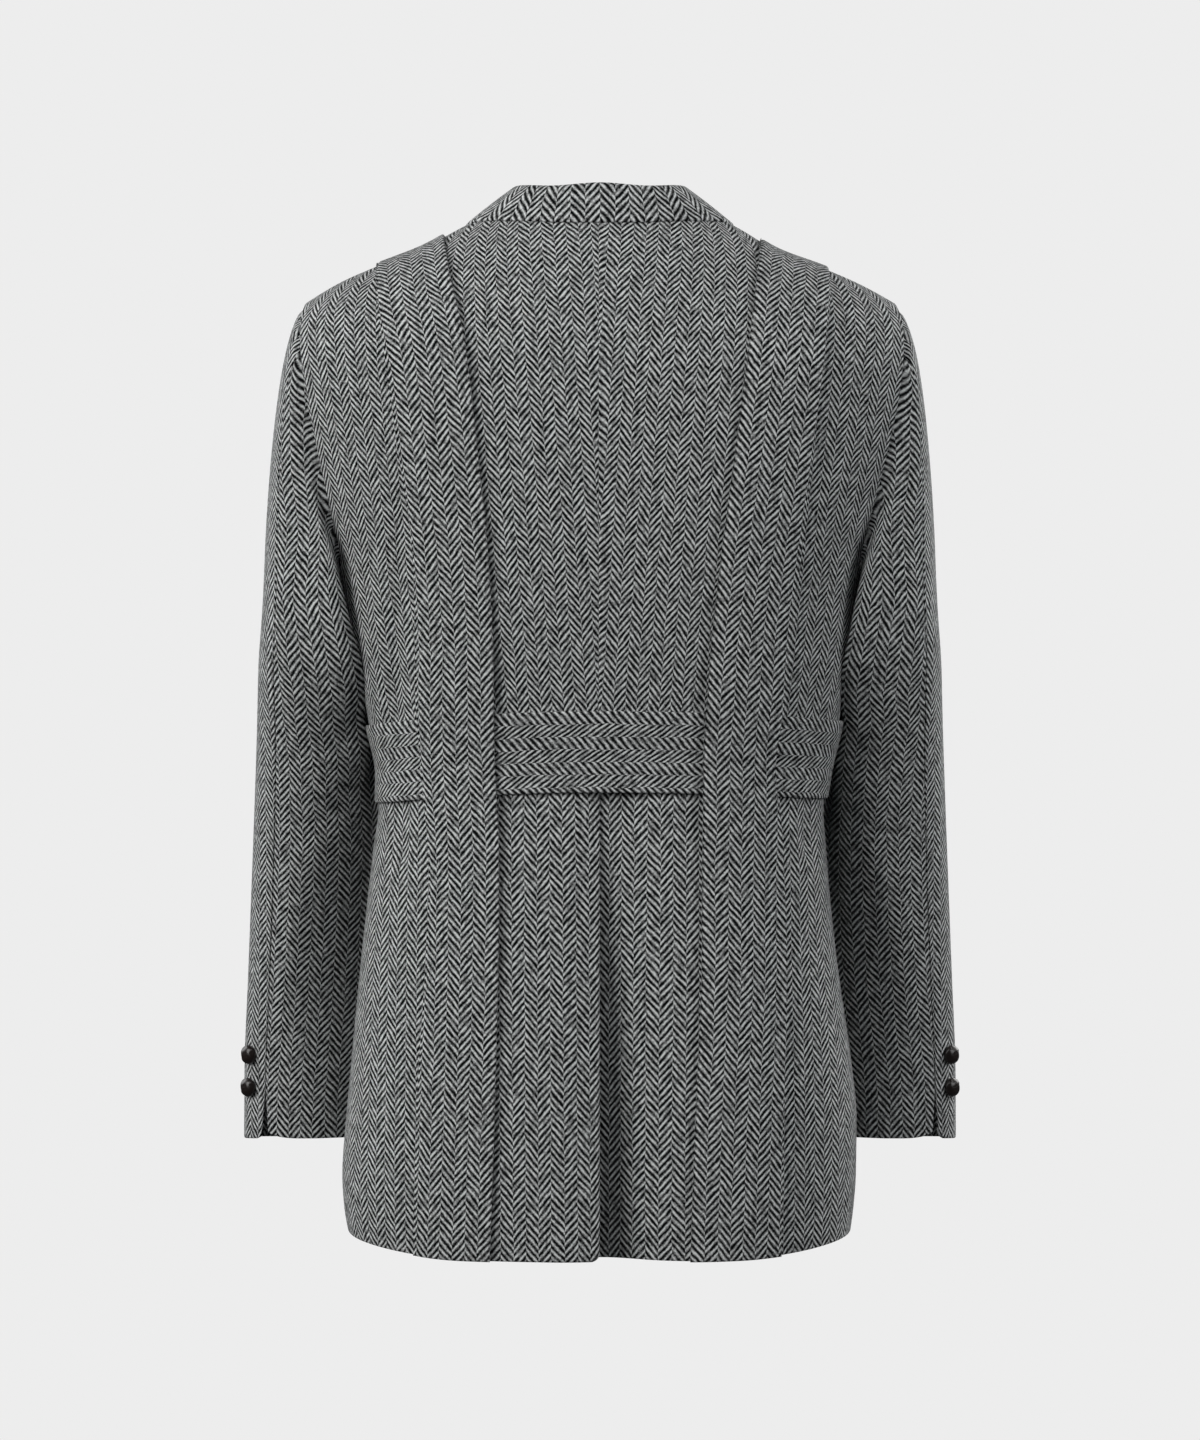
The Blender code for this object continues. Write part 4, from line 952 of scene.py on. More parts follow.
def hang_straight(surface, laid, axis, level):
    """Place of each point of a sleeve half on its cloth: square to the arm, and in the head as laid flat.

    Across is the length round each ring from its middle. Up is the length along the arm of the middle of
    the ring, with the part of the step from that middle that lies along the arm. A smooth step above the
    level ring leads over to the laid places.
    """
    centre = surface.mean(axis=0)
    unit = axis / np.linalg.norm(axis, axis=-1, keepdims=True)
    step = np.einsum("ck,ck->c", np.diff(centre, axis=0), 0.5 * (unit[1:] + unit[:-1]))
    down = np.concatenate([[0.0], np.cumsum(step)])
    down = down - down[level] + np.einsum("rck,ck->rc", surface - centre, unit)
    across = run_lengths(surface, 0)
    across = (across - across[len(surface) // 2]) * np.sign(laid[-1, level, 0] - laid[0, level, 0])
    straight = np.stack([across, -down], axis=-1)
    run = run_lengths(surface, 1)
    share = smooth_step((run[:, level:level + 1] - run) / SLEEVE_CAP_BLEND)[..., None]
    return straight + share * (laid + (straight - laid)[:, level:level + 1] - straight)


def vent_fall(table, away, z):
    """Fall of a lap towards the vent edge: a soft step across, deeper and wider downwards."""
    return eased(table, 1, z) * smooth_step(1.0 - np.maximum(away, 0.0) / eased(table, 2, z))


def rows_up(low, high):
    """Rows of a piece that runs from the hem at 0 past the underarm at 1 to the shoulder line at 2."""
    return np.concatenate([places(*low, end=False), 1.0 + places(*high, start=False)[1:]])[None, :]


def body_panel(word, side, face):
    """Half of the back (face 1) or front (face -1), from its centre edge to the side seam and armhole.

    Each point of the body form moves along its normal by the lap's step, the creases and, on the back, the
    fall of the vent. Across the back the weave is the length from the centre seam, spread and leaned above
    the belt.
    """
    part, table = ("back_", BACK_CREASES) if face > 0 else ("front_", FRONT_CREASES)
    u = places(*PANEL_COLUMNS)[:, None]
    v = rows_up(PANEL_LOW_ROWS, PANEL_HIGH_ROWS)
    point = panel(side, face, u, v)
    normal = body_normal(point)
    move = lap_move(side, face, point)
    depth = bpy.context.scene.jacket_sizes.crease_depth
    move = move + depth * creases(table, point[..., 0], point[..., 2])
    if face > 0:
        fall_table = VENT_TURN if side > 0 else VENT_HOLLOW
        move = move - depth * vent_fall(fall_table, side * point[..., 0], point[..., 2])
    outer = point + normal * move[..., None]
    if face > 0 and side < 0:
        outer[..., 0] += SEAM_CLOSE * smooth_step(1.0 - run_lengths(point, 0) / SEAM_CLOSE_WIDTH)
    level = int(np.argmin(np.abs(v[0] - 1.0)))
    weave = lie_flat(point, normal, UPWARD, level)
    if face > 0:
        weave[..., 0] = side * run_lengths(point, 0)
        above = np.maximum(point[..., 2] - GRAIN_START, 0.0)
        weave[..., 0] *= 1.0 + GRAIN_SPREAD * (GRAIN_EVEN - GRAIN_START - above) * (above > 0.0)
        weave[..., 0] -= side * GRAIN_LEAN * above
        weave[..., 1] += (GRAIN_FINE - 1.0) * above
    roll, fall = (VENT_EDGE_ROLL, VENT_EDGE_FALL) if side > 0 else (UNDER_EDGE_ROLL, UNDER_EDGE_FALL)
    return cloth_wall("tweed_" + part + word, part + word, outer, side * face, weave,
                      (roll, SEAM_ROLL, HEM_ROLL, SEAM_ROLL), (fall, SEAM_FALL, HEM_FALL, SEAM_FALL))


def strap(word, side, table, edges):
    """Strap with edges rolled down to the back, carried over the belt.

    Its stand-off is that of its edges, straight across, plus a cubic crown, and over the belt it rises to
    the belt's by smooth steps above and below. It comes down at the shoulder seam.
    """
    u = places(*STRAP_COLUMNS)[:, None]
    v = rows_up(STRAP_LOW_ROWS, STRAP_HIGH_ROWS)
    top = np.zeros(np.broadcast(u, 1.0).shape)
    for _ in range(SOLVE_STEPS):
        top = ridge_height(side * (eased(table, 1, top) * (1.0 - u) + eased(table, 2, top) * u))
    hem = hem_level(eased(table, 1, HEM_HEIGHT) * (1.0 - u) + eased(table, 2, HEM_HEIGHT) * u)
    low = hem + (UNDERARM_HEIGHT - hem) * np.minimum(v, 1.0)
    z = np.where(v > 1.0, UNDERARM_HEIGHT + (top - UNDERARM_HEIGHT) * rise(v - 1.0), low)
    place = side * (eased(table, 1, z) * (1.0 - u) + eased(table, 2, z) * u)
    point = body_place(place, z, np.ones(np.shape(z)))
    normal = body_normal(point)
    belt_top = belt_top_edge(place)
    over = smooth_step((belt_top + STRAP_CLIMB - z) / STRAP_CLIMB)
    over = over * smooth_step((z - (belt_top - BELT_DEPTH - STRAP_DESCENT)) / STRAP_DESCENT)
    edge = edges[0] * (1.0 - u) + edges[1] * u
    crown = edge + (STRAP_CROWN - edge) * (1.0 - np.abs(2.0 * u - 1.0) ** 3)
    lift = crown * (1.0 - over) + (STRAP_OVER_BELT + crown - edge) * over
    lift = lift * smooth_step((top + STRAP_TOP_REACH - z) / STRAP_TOP_FADE)
    outer = point + normal * (lift + CLOTH)[..., None]
    grain = np.gradient(point[len(u) // 2], axis=0)
    weave = lie_flat(point, normal, grain, int(np.argmin(np.abs(v[0] - 1.0))))
    weave[..., 0] = side * run_lengths(point, 0) * np.cos(np.arctan2(grain[:, 0], grain[:, 2]))
    rolls = [STRAP_SOFT_ROLL if edge < STRAP_LOW_EDGE else HEM_ROLL for edge in edges]
    falls = [STRAP_SOFT_FALL if edge < STRAP_LOW_EDGE else HEM_FALL for edge in edges]
    return cloth_wall("tweed_strap_" + word, "strap_" + word, outer, side, weave,
                      (*rolls, HEM_ROLL, SEAM_ROLL), (*falls, HEM_FALL, SEAM_FALL))


def belt():
    """Half belt standing off the waist by a little more at its top, with folded top and bottom edges."""
    span = SIDE_SEAM_ANGLE - SEAM_ANGLE
    angle = span * (2.0 * places(*BELT_COLUMNS) - 1.0)[:, None]
    v = places(*BELT_ROWS)[None, :]
    z = np.full(np.broadcast(angle, v).shape, BELT_TOP_BACK)
    for _ in range(SOLVE_STEPS):
        z = belt_top_edge(body_point(angle + 0.0 * z, z)[..., 0]) - BELT_DEPTH * v
    point = body_point(angle + 0.0 * z, z)
    normal = body_normal(point) * np.array([1.0, 1.0, 0.0])
    normal = normal / np.linalg.norm(normal, axis=-1, keepdims=True)
    lift = BELT_LIFT_TOP + (BELT_LIFT_BOTTOM - BELT_LIFT_TOP) * v + CLOTH
    outer = point + normal * lift[..., None]
    run = run_lengths(outer, 0)
    weave = np.stack([BELT_DEPTH * v + 0.0 * run, GRAIN_FINE * run], axis=-1)
    return cloth_wall("tweed_belt", "belt", outer, -1.0, weave,
                      (SEAM_ROLL, SEAM_ROLL, BELT_TOP_ROLL, BELT_LOW_ROLL),
                      (SEAM_FALL, SEAM_FALL, BELT_TOP_FALL, BELT_LOW_FALL))


def lapel(word, side, foot):
    """Lapel turned back on the forepart from the roll line, widest under the notch.

    Its width is a power of the height over the break. It stands off by a round roll at the fold, the fourth
    power of the way back to it, and an even rise towards its free edge.
    """
    u = places(*LAPEL_COLUMNS)[:, None]
    v = places(*LAPEL_ROWS)[None, :]
    top = np.interp(u, [row[0] for row in LAPEL_TOP], [row[1] for row in LAPEL_TOP])
    z = foot + (top - foot) * v
    share = np.clip((z - BREAK_HEIGHT) / (LAPEL_TOP[0][1] - BREAK_HEIGHT), 0.0, 1.0)
    width = np.maximum(LAPEL_WIDTH * share ** LAPEL_BELLY, LAPEL_LEAST_WIDTH)
    place = front_edge(side, z) + side * u * width
    point = body_place(place, z, -np.ones(np.shape(z)))
    normal = body_normal(point)
    lift = LAPEL_LIFT + LAPEL_EASE * u + LAPEL_ROLL * (1.0 - u) ** 4 + lap_move(side, -1, point) + CLOTH
    outer = point + normal * lift[..., None]
    weave = lie_flat(point, normal, UPWARD, 0)
    return cloth_wall("tweed_lapel_" + word, "lapel_" + word, outer, -side, weave,
                      (LAPEL_FOLD_ROLL, HEM_ROLL, HEM_ROLL, HEM_ROLL),
                      (LAPEL_FOLD_FALL, HEM_FALL, HEM_FALL, HEM_FALL))


def collar_side(side, share):
    """Seam and leaf line of half the collar, from centre back 0 over the shoulder 0.5 to the notch 1.

    The seam follows the neck edge and then the roll line of the front. The leaf line is a rounded curve over
    the back, and runs straight from the shoulder to its point at the front.
    """
    near = np.sin(math.pi * np.minimum(share, 0.5))
    part = np.clip(2.0 * share - 1.0, 0.0, 1.0)
    x = side * NECK_HALF_WIDTH * near
    back_seam = body_place(x, top_height(x, 1), np.ones(len(share)))
    climb = ridge_height(NECK_HALF_WIDTH) - UNDERARM_HEIGHT
    height = UNDERARM_HEIGHT + climb * rise(1.0 - part * (1.0 - COLLAR_END))
    front_seam = body_place(side * front_edge(1.0, height), height, -np.ones(len(share)))
    seam = np.where((share <= 0.5)[:, None], back_seam, front_seam)
    x = side * COLLAR_LEAF_SHOULDER * near
    left = np.maximum(1.0 - near ** COLLAR_LEAF_EXPONENT, 0.0) ** (1.0 / COLLAR_LEAF_EXPONENT)
    back_leaf = body_place(x, height_at_depth(x, COLLAR_LEAF_BACK_DEPTH * left), np.ones(len(share)))
    start = ridge_height(side * COLLAR_LEAF_SHOULDER)
    x = side * (COLLAR_LEAF_SHOULDER + (COLLAR_LEAF_FRONT - COLLAR_LEAF_SHOULDER) * part)
    front_leaf = body_place(x, start + (COLLAR_LEAF_FRONT_HEIGHT - start) * part, -np.ones(len(share)))
    leaf = np.where((share <= 0.5)[:, None], back_leaf, front_leaf)
    leaf = leaf + body_normal(leaf) * COLLAR_LEAF_LIFT
    return seam, leaf


def smoothed(rows, passes):
    """Rows blended with their neighbours, their ends kept."""
    for _ in range(passes):
        rows = np.concatenate([rows[:1], 0.25 * rows[:-2] + 0.5 * rows[1:-1] + 0.25 * rows[2:], rows[-1:]])
    return rows


def collar():
    """Collar folded over at the neck, its two halves one cloth.

    Each cross-section goes straight up the leaning stand, round the roll by an arc, and down the fall by a
    line with a slight belly to the leaf line.
    """
    share = np.unique(np.concatenate([places(*COLLAR_COLUMNS, start=False), [0.5]]))
    seam_left, leaf_left = collar_side(1.0, share)
    seam_right, leaf_right = collar_side(-1.0, share)
    seam = smoothed(np.concatenate([seam_right[:0:-1], seam_left]), COLLAR_SEAM_PASSES)
    leaf = smoothed(np.concatenate([leaf_right[:0:-1], leaf_left]), COLLAR_SEAM_PASSES)
    whole = np.concatenate([share[:0:-1], share])
    run = np.gradient(seam, axis=0)
    run = smoothed(run / np.linalg.norm(run, axis=-1, keepdims=True), COLLAR_RUN_PASSES)
    run = run / np.linalg.norm(run, axis=-1, keepdims=True)
    out = np.cross(UPWARD, run)
    out = out / np.linalg.norm(out, axis=-1, keepdims=True)
    up = np.cross(run, out)
    stand, lean, radius = (eased(COLLAR_SECTIONS, k, whole)[:, None] for k in (1, 2, 3))
    lean = np.radians(lean)
    climb = np.cos(lean) * up - np.sin(lean) * out
    away = np.sin(lean) * up + np.cos(lean) * out
    foot = seam - COLLAR_INSET * out + COLLAR_SEAM * up
    centre = foot + stand * climb + radius * away
    fall = leaf - centre
    fall_away, fall_climb = np.sum(fall * away, axis=-1), np.sum(fall * climb, axis=-1)
    last = np.arctan2(fall_away, -fall_climb)
    stand_share = np.linspace(0.0, 1.0, COLLAR_STAND_ROWS)[None, :-1, None]
    tuck = STAND_TUCK * smooth_step((STAND_TUCK_END - whole) / STAND_TUCK_FADE)[:, None]
    stand_rows = (foot - tuck * climb)[:, None] + stand_share * ((stand + tuck) * climb)[:, None]
    turn = math.pi + (last - math.pi)[:, None] * np.linspace(0.0, 1.0, COLLAR_ROLL_ROWS)[None, :]
    turn = turn[..., None]
    spoke = np.cos(turn) * away[:, None] + np.sin(turn) * climb[:, None]
    roll_rows = centre[:, None] + radius[:, None] * spoke
    part = places(*COLLAR_FALL_ROWS, start=False)[None, 1:, None]
    bulge = np.cos(last)[:, None] * away + np.sin(last)[:, None] * climb
    start = roll_rows[:, -1:]
    fall_rows = start + (leaf[:, None] - start) * part
    fall_rows = fall_rows + bulge[:, None] * COLLAR_FALL_BELLY * np.sin(math.pi * part)
    fall_rows = fall_rows + body_normal(leaf)[:, None] * COLLAR_EDGE_LIFT * part ** 3
    outer = np.concatenate([stand_rows, roll_rows, fall_rows], axis=1)
    grain = np.cross(run[:, None], surface_normals(outer, 1.0))
    middle = outer.shape[1] - COLLAR_LEVEL_ROW
    weave = lie_flat(outer, surface_normals(outer, 1.0), grain, middle)
    weave[..., 0] -= weave[len(share) - 1:len(share), middle:middle + 1, 0]
    weave = weave * COLLAR_WEAVE
    return cloth_wall("tweed_collar", "collar", outer, 1.0, weave,
                      (HEM_ROLL, HEM_ROLL, HEM_ROLL, LEAF_EDGE_ROLL),
                      (HEM_FALL, HEM_FALL, HEM_FALL, LEAF_EDGE_FALL))


def inner_hollow(table, turn, z):
    """Share by which the sleeve's inner back is drawn forward: a slow rise from the ridge, then a steep one.

    The slow rise starts at the ridge and bends like a power of the turn. The steep one is a soft step
    from the edge, where the cloth turns in beside the body.
    """
    ridge, lean, edge, hollow = (eased(table, k, z) for k in (1, 2, 3, 4))
    slow = lean * np.clip((turn - ridge) / (SLEEVE_INNER_TURN - ridge), 0.0, 1.0) ** SLEEVE_LEAN_BEND
    return slow + (hollow - lean) * smooth_step((turn - edge) / (SLEEVE_INNER_TURN - edge))


def sleeve_half(node, side, first, last, first_slit, last_slit, table, slope):
    """Half of a two-piece sleeve between its seams, with the cuff slit opening along the hindarm seam.

    The slit widens evenly downwards and its corners are rounded. The surface is smoothed along the arm where
    head and arm meet, then creased. Its inner back is drawn forward by a share of its depth behind a still
    front, and its head is tucked towards the body.
    """
    w = places(*SLEEVE_COLUMNS)[:, None]
    head = places(*SLEEVE_HEAD_ROWS, end=False) ** SLEEVE_HEAD_BUNCHING
    t = np.concatenate([head, 1.0 + places(*SLEEVE_ARM_ROWS, start=False)[1:]])[None, :]
    z = SLEEVE_TOP_RING + (CUFF_HEIGHT - SLEEVE_TOP_RING) * (t - 1.0)
    slit = CUFF_SLIT_ANGLE * np.clip((CUFF_SLIT_TOP - z) / (CUFF_SLIT_TOP - CUFF_HEIGHT), 0.0, 1.0)
    begin = first + SEAM_ANGLE + first_slit * slit
    finish = last - SEAM_ANGLE - last_slit * slit
    turn = begin + (finish - begin) * w
    run = run_lengths(sleeve_point(side, turn, 2.0 + 0.0 * turn), 0)
    round_off = last_slit * CUFF_CORNER * edge_fall(run[-1:] - run, CUFF_CORNER)
    round_off = round_off + first_slit * CUFF_UNDER_RISE * edge_fall(run, CUFF_UNDER_CORNER)
    round_off = round_off / (SLEEVE_TOP_RING - CUFF_HEIGHT)
    t = t - round_off * np.maximum(t - 1.0, 0.0)
    point = sleeve_point(side, turn, t)
    ring = int(np.argmin(np.abs(t[0] - 1.0)))
    down = run_lengths(point, 1)
    near = np.abs(down - down[:, ring:ring + 1]) / SLEEVE_JOIN_WIDTH
    near = SLEEVE_JOIN_PULL * smooth_step(SLEEVE_JOIN_REACH - near)[..., None]
    for _ in range(SLEEVE_JOIN_PASSES):
        share = np.linalg.norm(np.diff(point, axis=1), axis=-1)[..., None]
        share = share[:, :-1] / (share[:, :-1] + share[:, 1:])
        level = point[:, :-2] * (1.0 - share) + point[:, 2:] * share
        point[:, 1:-1] += near[:, 1:-1] * (level - point[:, 1:-1])
    normal = surface_normals(point, -side)
    depth = bpy.context.scene.jacket_sizes.crease_depth
    wrapped = np.mod(turn + SLEEVE_WRAP, 360.0) - SLEEVE_WRAP
    around = wrapped * SLEEVE_TURN_LENGTH
    flat = tuple((a * SLEEVE_TURN_LENGTH, b, c * SLEEVE_TURN_LENGTH, d, e, f) for a, b, c, d, e, f in table)
    move = depth * creases(flat, around, point[..., 2])
    outer = point + normal * move[..., None]
    middle, half_depth = (eased(SLEEVE_SECTIONS, k, point[..., 2]) for k in (4, 5))
    front = middle - SLEEVE_FRONT_SHARE * half_depth
    drawn = depth * inner_hollow(slope, wrapped, point[..., 2]) * smooth_step(t / SLEEVE_SEAM_SHARE)
    outer[..., 1] -= drawn * np.maximum(outer[..., 1] - front, 0.0)
    back, fore = (sleeve_point(side, angle + 0.0 * t[:1], t[:1])[0] for angle in (90.0, 270.0))
    axis = np.gradient(0.5 * (back + fore), axis=0)
    axis = axis / np.linalg.norm(axis, axis=-1, keepdims=True)
    axis[:ring + 1] = (0.0, 0.0, -1.0)
    axis = smoothed(axis, SLEEVE_AXIS_PASSES)
    weave = hang_straight(point, lie_flat(point, normal, -axis, ring), axis, ring)
    outer[..., 0] -= side * SLEEVE_TUCK * smooth_step(1.0 - run_lengths(point, 1) / SLEEVE_TUCK_WIDTH)
    return cloth_wall("tweed_" + node, node, outer, -side, weave,
                      (SEAM_ROLL, SEAM_ROLL, SLEEVE_HEAD_ROLL, HEM_ROLL),
                      (SLEEVE_SEAM_FALL, SLEEVE_SEAM_FALL, SLEEVE_HEAD_FALL, HEM_FALL))


def knot_height(across, up):
    """Height of a leather button's knot: four crossed bands round a small middle one."""
    total = np.clip(1.0 - (np.hypot(across, up) / KNOT_MIDDLE) ** 2, 0.0, 1.0)
    for quarter in range(4):
        turn = 0.5 * math.pi * quarter
        along = math.cos(turn) * across + math.sin(turn) * up
        beside = math.cos(turn) * up - math.sin(turn) * across
        ridge = np.clip(1.0 - ((beside - KNOT_PLACE) / KNOT_HALF_WIDTH) ** 2, 0.0, 1.0)
        ridge = ridge * smooth_step((KNOT_END - along) / KNOT_SOFT_END)
        total = np.maximum(total, np.sqrt(ridge))
    return total


def button(node, seat, axis, turn):
    """Domed button covered in crossed leather bands, closed by a flat back.

    Its profile is a quarter wave from the back to the widest ring and another one to the top, turned round
    the axis. Grooves between the bands are cut as deep as the knot is low.
    """
    side_way = np.cross(axis, UPWARD)
    side_way = side_way / np.linalg.norm(side_way)
    up_way = np.cross(side_way, axis)
    base = seat + axis * BUTTON_SEAT
    angle = (2.0 * math.pi * np.arange(BUTTON_SPOKES) / BUTTON_SPOKES)[:, None]
    share = np.linspace(0.0, 1.0, BUTTON_RINGS)[None, :]
    low = share < 0.5
    wide = np.where(low, BUTTON_BACK + (1.0 - BUTTON_BACK) * np.sin(math.pi * share),
                    np.cos(math.pi * (share - 0.5) * BUTTON_TOP_TURN))
    tall = np.where(low, BUTTON_WAIST * (1.0 - np.cos(math.pi * share)),
                    BUTTON_WAIST + (1.0 - BUTTON_WAIST) * np.sin(math.pi * (share - 0.5)))
    groove = 1.0 - knot_height(wide * np.cos(angle + turn), wide * np.sin(angle + turn))
    groove = groove * smooth_step((share - BUTTON_BAND_START) / BUTTON_BAND_STEP)
    height = BUTTON_HEIGHT * tall - BUTTON_GROOVE * groove
    spoke = np.cos(angle)[..., None] * side_way + np.sin(angle)[..., None] * up_way
    points = base + BUTTON_RADIUS * wide[..., None] * spoke + height[..., None] * axis
    count = BUTTON_SPOKES * BUTTON_RINGS
    index = np.arange(count).reshape(BUTTON_SPOKES, BUTTON_RINGS)
    ahead = np.roll(index, -1, axis=0)
    quads = np.stack([index[:, :-1], ahead[:, :-1], ahead[:, 1:], index[:, 1:]], axis=-1).reshape(-1, 4)
    top = points[:, -1].mean(axis=0)
    points = np.concatenate([points.reshape(-1, 3), [base, top]])
    low_fan = np.stack([np.full(BUTTON_SPOKES, count), ahead[:, 0], index[:, 0]], axis=-1)
    high_fan = np.stack([index[:, -1], ahead[:, -1], np.full(BUTTON_SPOKES, count + 1)], axis=-1)
    piece = add_mesh("leather_" + node, points, quads.tolist() + low_fan.tolist() + high_fan.tolist())
    first, second, third = (points[quads[:, k]] for k in (0, 1, 2))
    if np.sum(np.cross(second - first, third - first) * (first - base)) < 0.0:
        piece.data.flip_normals()
    piece.data.update()
    piece.data.shade_smooth()
    piece.data.materials.append(shared_material("knotted_leather", leather))
    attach(piece, "root")
    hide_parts(node)


def linear(hex_colour):
    """Linear red, green and blue of an sRGB hex colour."""
    value = np.array([int(hex_colour[k:k + 2], 16) for k in (1, 3, 5)]) / 255.0
    return tuple(np.where(value <= 0.04045, value / 12.92, ((value + 0.055) / 1.055) ** 2.4).tolist())


def add_node(tree, kind, settings=None, **links):
    """Adds a node, sets its properties and unlinked sockets, and links the sockets that are given an output.

    A socket is called by its name, with _ for a space, or by the letter i and its number.
    """
    node = tree.nodes.new(kind)
    for name, value in (settings or {}).items():
        setattr(node, name, value)
    for name, value in links.items():
        numbered = name[0] == "i" and name[1:].isdigit()
        socket = node.inputs[int(name[1:]) if numbered else name.replace("_", " ")]
        if isinstance(value, bpy.types.NodeSocket):
            tree.links.new(value, socket)
        else:
            socket.default_value = value
    return node.outputs


def math_node(tree, operation, *values):
    """One step of arithmetic."""
    links = {"i%d" % k: value for k, value in enumerate(values)}
    return add_node(tree, "ShaderNodeMath", {"operation": operation}, **links)[0]


def new_material(name):
    """Material with its node tree and its shader."""
    material = bpy.data.materials.new(name)
    material.use_nodes = True
    return material, material.node_tree, material.node_tree.nodes["Principled BSDF"]


def tweed(name):
    """Herringbone wool tweed, fulled and slightly napped: a dull surface with a faint soft sheen.

    The twill runs up to one side in one column and to the other in the next, and shifts by half a
    line where the columns meet. Light and dark yarns are two colours, with slubs and small breaks.
    """
    colours = bpy.context.scene.jacket_colours
    weave = bpy.context.scene.jacket_weave
    material, tree, shader = new_material(name)
    where = add_node(tree, "ShaderNodeUVMap", {"uv_map": "weave"})[0]
    flat = {"noise_dimensions": "2D"}
    slow = add_node(tree, "ShaderNodeTexNoise", flat, Vector=where, Scale=STRAY_PER_METRE, Detail=1.0)[1]
    minus = {"operation": "SUBTRACT"}
    centred = add_node(tree, "ShaderNodeVectorMath", minus, i0=slow, i1=(0.5, 0.5, 0.5))[0]
    wobble = add_node(tree, "ShaderNodeVectorMath", {"operation": "SCALE"}, i0=centred, Scale=weave.wobble)[0]
    moved = add_node(tree, "ShaderNodeVectorMath", {"operation": "ADD"}, i0=where, i1=wobble)[0]
    place = add_node(tree, "ShaderNodeSeparateXYZ", Vector=moved)
    column = math_node(tree, "DIVIDE", place[0], weave.column)
    zigzag = math_node(tree, "PINGPONG", column, 1.0)
    parity = math_node(tree, "FLOORED_MODULO", math_node(tree, "FLOOR", column, 0.0), 2.0)
    lines = math_node(tree, "DIVIDE", place[1], weave.line)
    slope = weave.column * math.tan(weave.slant) / weave.line
    lines = math_node(tree, "MULTIPLY_ADD", zigzag, slope, lines)
    lines = math_node(tree, "MULTIPLY_ADD", parity, 0.5, lines)
    wave = math_node(tree, "SINE", math_node(tree, "MULTIPLY", lines, 2.0 * math.pi), 0.0)
    beside = math_node(tree, "MULTIPLY", column, SLUBS_ACROSS)
    along = math_node(tree, "MULTIPLY", lines, SLUBS_ALONG)
    strands = add_node(tree, "ShaderNodeCombineXYZ", {}, X=beside, Y=along, Z=parity)[0]
    solid = {"noise_dimensions": "3D"}
    slubs = add_node(tree, "ShaderNodeTexNoise", solid, Vector=strands, Scale=1.0, Detail=1.0)[0]
    fibres = add_node(tree, "ShaderNodeTexNoise", flat, Vector=where, Scale=FIBRES_PER_METRE, Detail=2.0)[0]
    patches = add_node(tree, "ShaderNodeTexNoise", flat, Vector=where, Scale=PATCHES_PER_METRE, Detail=2.0)[0]
    wave = math_node(tree, "MULTIPLY_ADD", math_node(tree, "SUBTRACT", slubs, 0.5), weave.slubs, wave)
    wave = math_node(tree, "MULTIPLY_ADD", math_node(tree, "SUBTRACT", fibres, 0.5), weave.fibres, wave)
    wave = math_node(tree, "MULTIPLY_ADD", math_node(tree, "SUBTRACT", patches, 0.5), weave.patches, wave)
    share = add_node(tree, "ShaderNodeMapRange", {}, Value=wave, From_Min=YARN_DARK, From_Max=YARN_LIGHT)[0]
    share = math_node(tree, "POWER", share, YARN_CONTRAST)
    mix = add_node(tree, "ShaderNodeMix", {"data_type": "RGBA"}, i0=share, i6=(*colours.dark_yarn, 1.0),
                   i7=(*colours.light_yarn, 1.0))
    tree.links.new(mix[2], shader.inputs["Base Color"])
    bump = add_node(tree, "ShaderNodeBump", {}, Strength=0.6, Distance=0.0003, Height=share)[0]
    tree.links.new(bump, shader.inputs["Normal"])
    shader.inputs["Roughness"].default_value = 0.95
    shader.inputs["Specular IOR Level"].default_value = 0.08
    shader.inputs["Sheen Weight"].default_value = 0.03
    shader.inputs["Sheen Roughness"].default_value = 0.5
    return material


def leather(name):
    """Vegetable-tanned leather, hand-polished: very dark brown with a soft highlight."""
    material, tree, shader = new_material(name)
    where = add_node(tree, "ShaderNodeTexCoord")["Object"]
    scale = LEATHER_GRAIN_PER_METRE
    grain = add_node(tree, "ShaderNodeTexNoise", {}, Vector=where, Scale=scale, Detail=3.0)[0]
    bump = add_node(tree, "ShaderNodeBump", {}, Strength=0.25, Distance=0.0002, Height=grain)[0]
    tree.links.new(bump, shader.inputs["Normal"])
    shader.inputs["Base Color"].default_value = (*bpy.context.scene.jacket_colours.leather, 1.0)
    shader.inputs["Roughness"].default_value = 0.34
    shader.inputs["Coat Weight"].default_value = 0.35
    shader.inputs["Coat Roughness"].default_value = 0.22
    return material


def shared_material(name, maker):
    """The material of this name, made when it is first asked for."""
    return bpy.data.materials.get(name) or maker(name)


class JacketSizes(bpy.types.PropertyGroup):
    """Sizes of the cloth's shape."""
    crease_depth: FloatProperty(
        name="Crease depth", description="Depth of every crease, as a share of its own height", default=1.0,
        min=0.0, max=2.0)


class JacketWeave(bpy.types.PropertyGroup):
    """Real sizes of the herringbone."""
    column: FloatProperty(
        name="Column", description="Width of one column of twill", default=0.0090, unit="LENGTH")
    line: FloatProperty(
        name="Line", description="Height of one light and one dark line", default=0.0054, unit="LENGTH")
    slant: FloatProperty(
        name="Slant", description="Steepness of the twill lines", default=math.radians(49.0), subtype="ANGLE")
    wobble: FloatProperty(
        name="Wobble", description="How far the columns stray", default=0.0016, unit="LENGTH")
    slubs: FloatProperty(name="Slubs", description="How much single lines thicken and thin", default=2.4)
    fibres: FloatProperty(name="Fibres", description="How much stray fibres break up the lines", default=1.7)
    patches: FloatProperty(name="Patches", description="How much lighter and darker areas show", default=0.9)


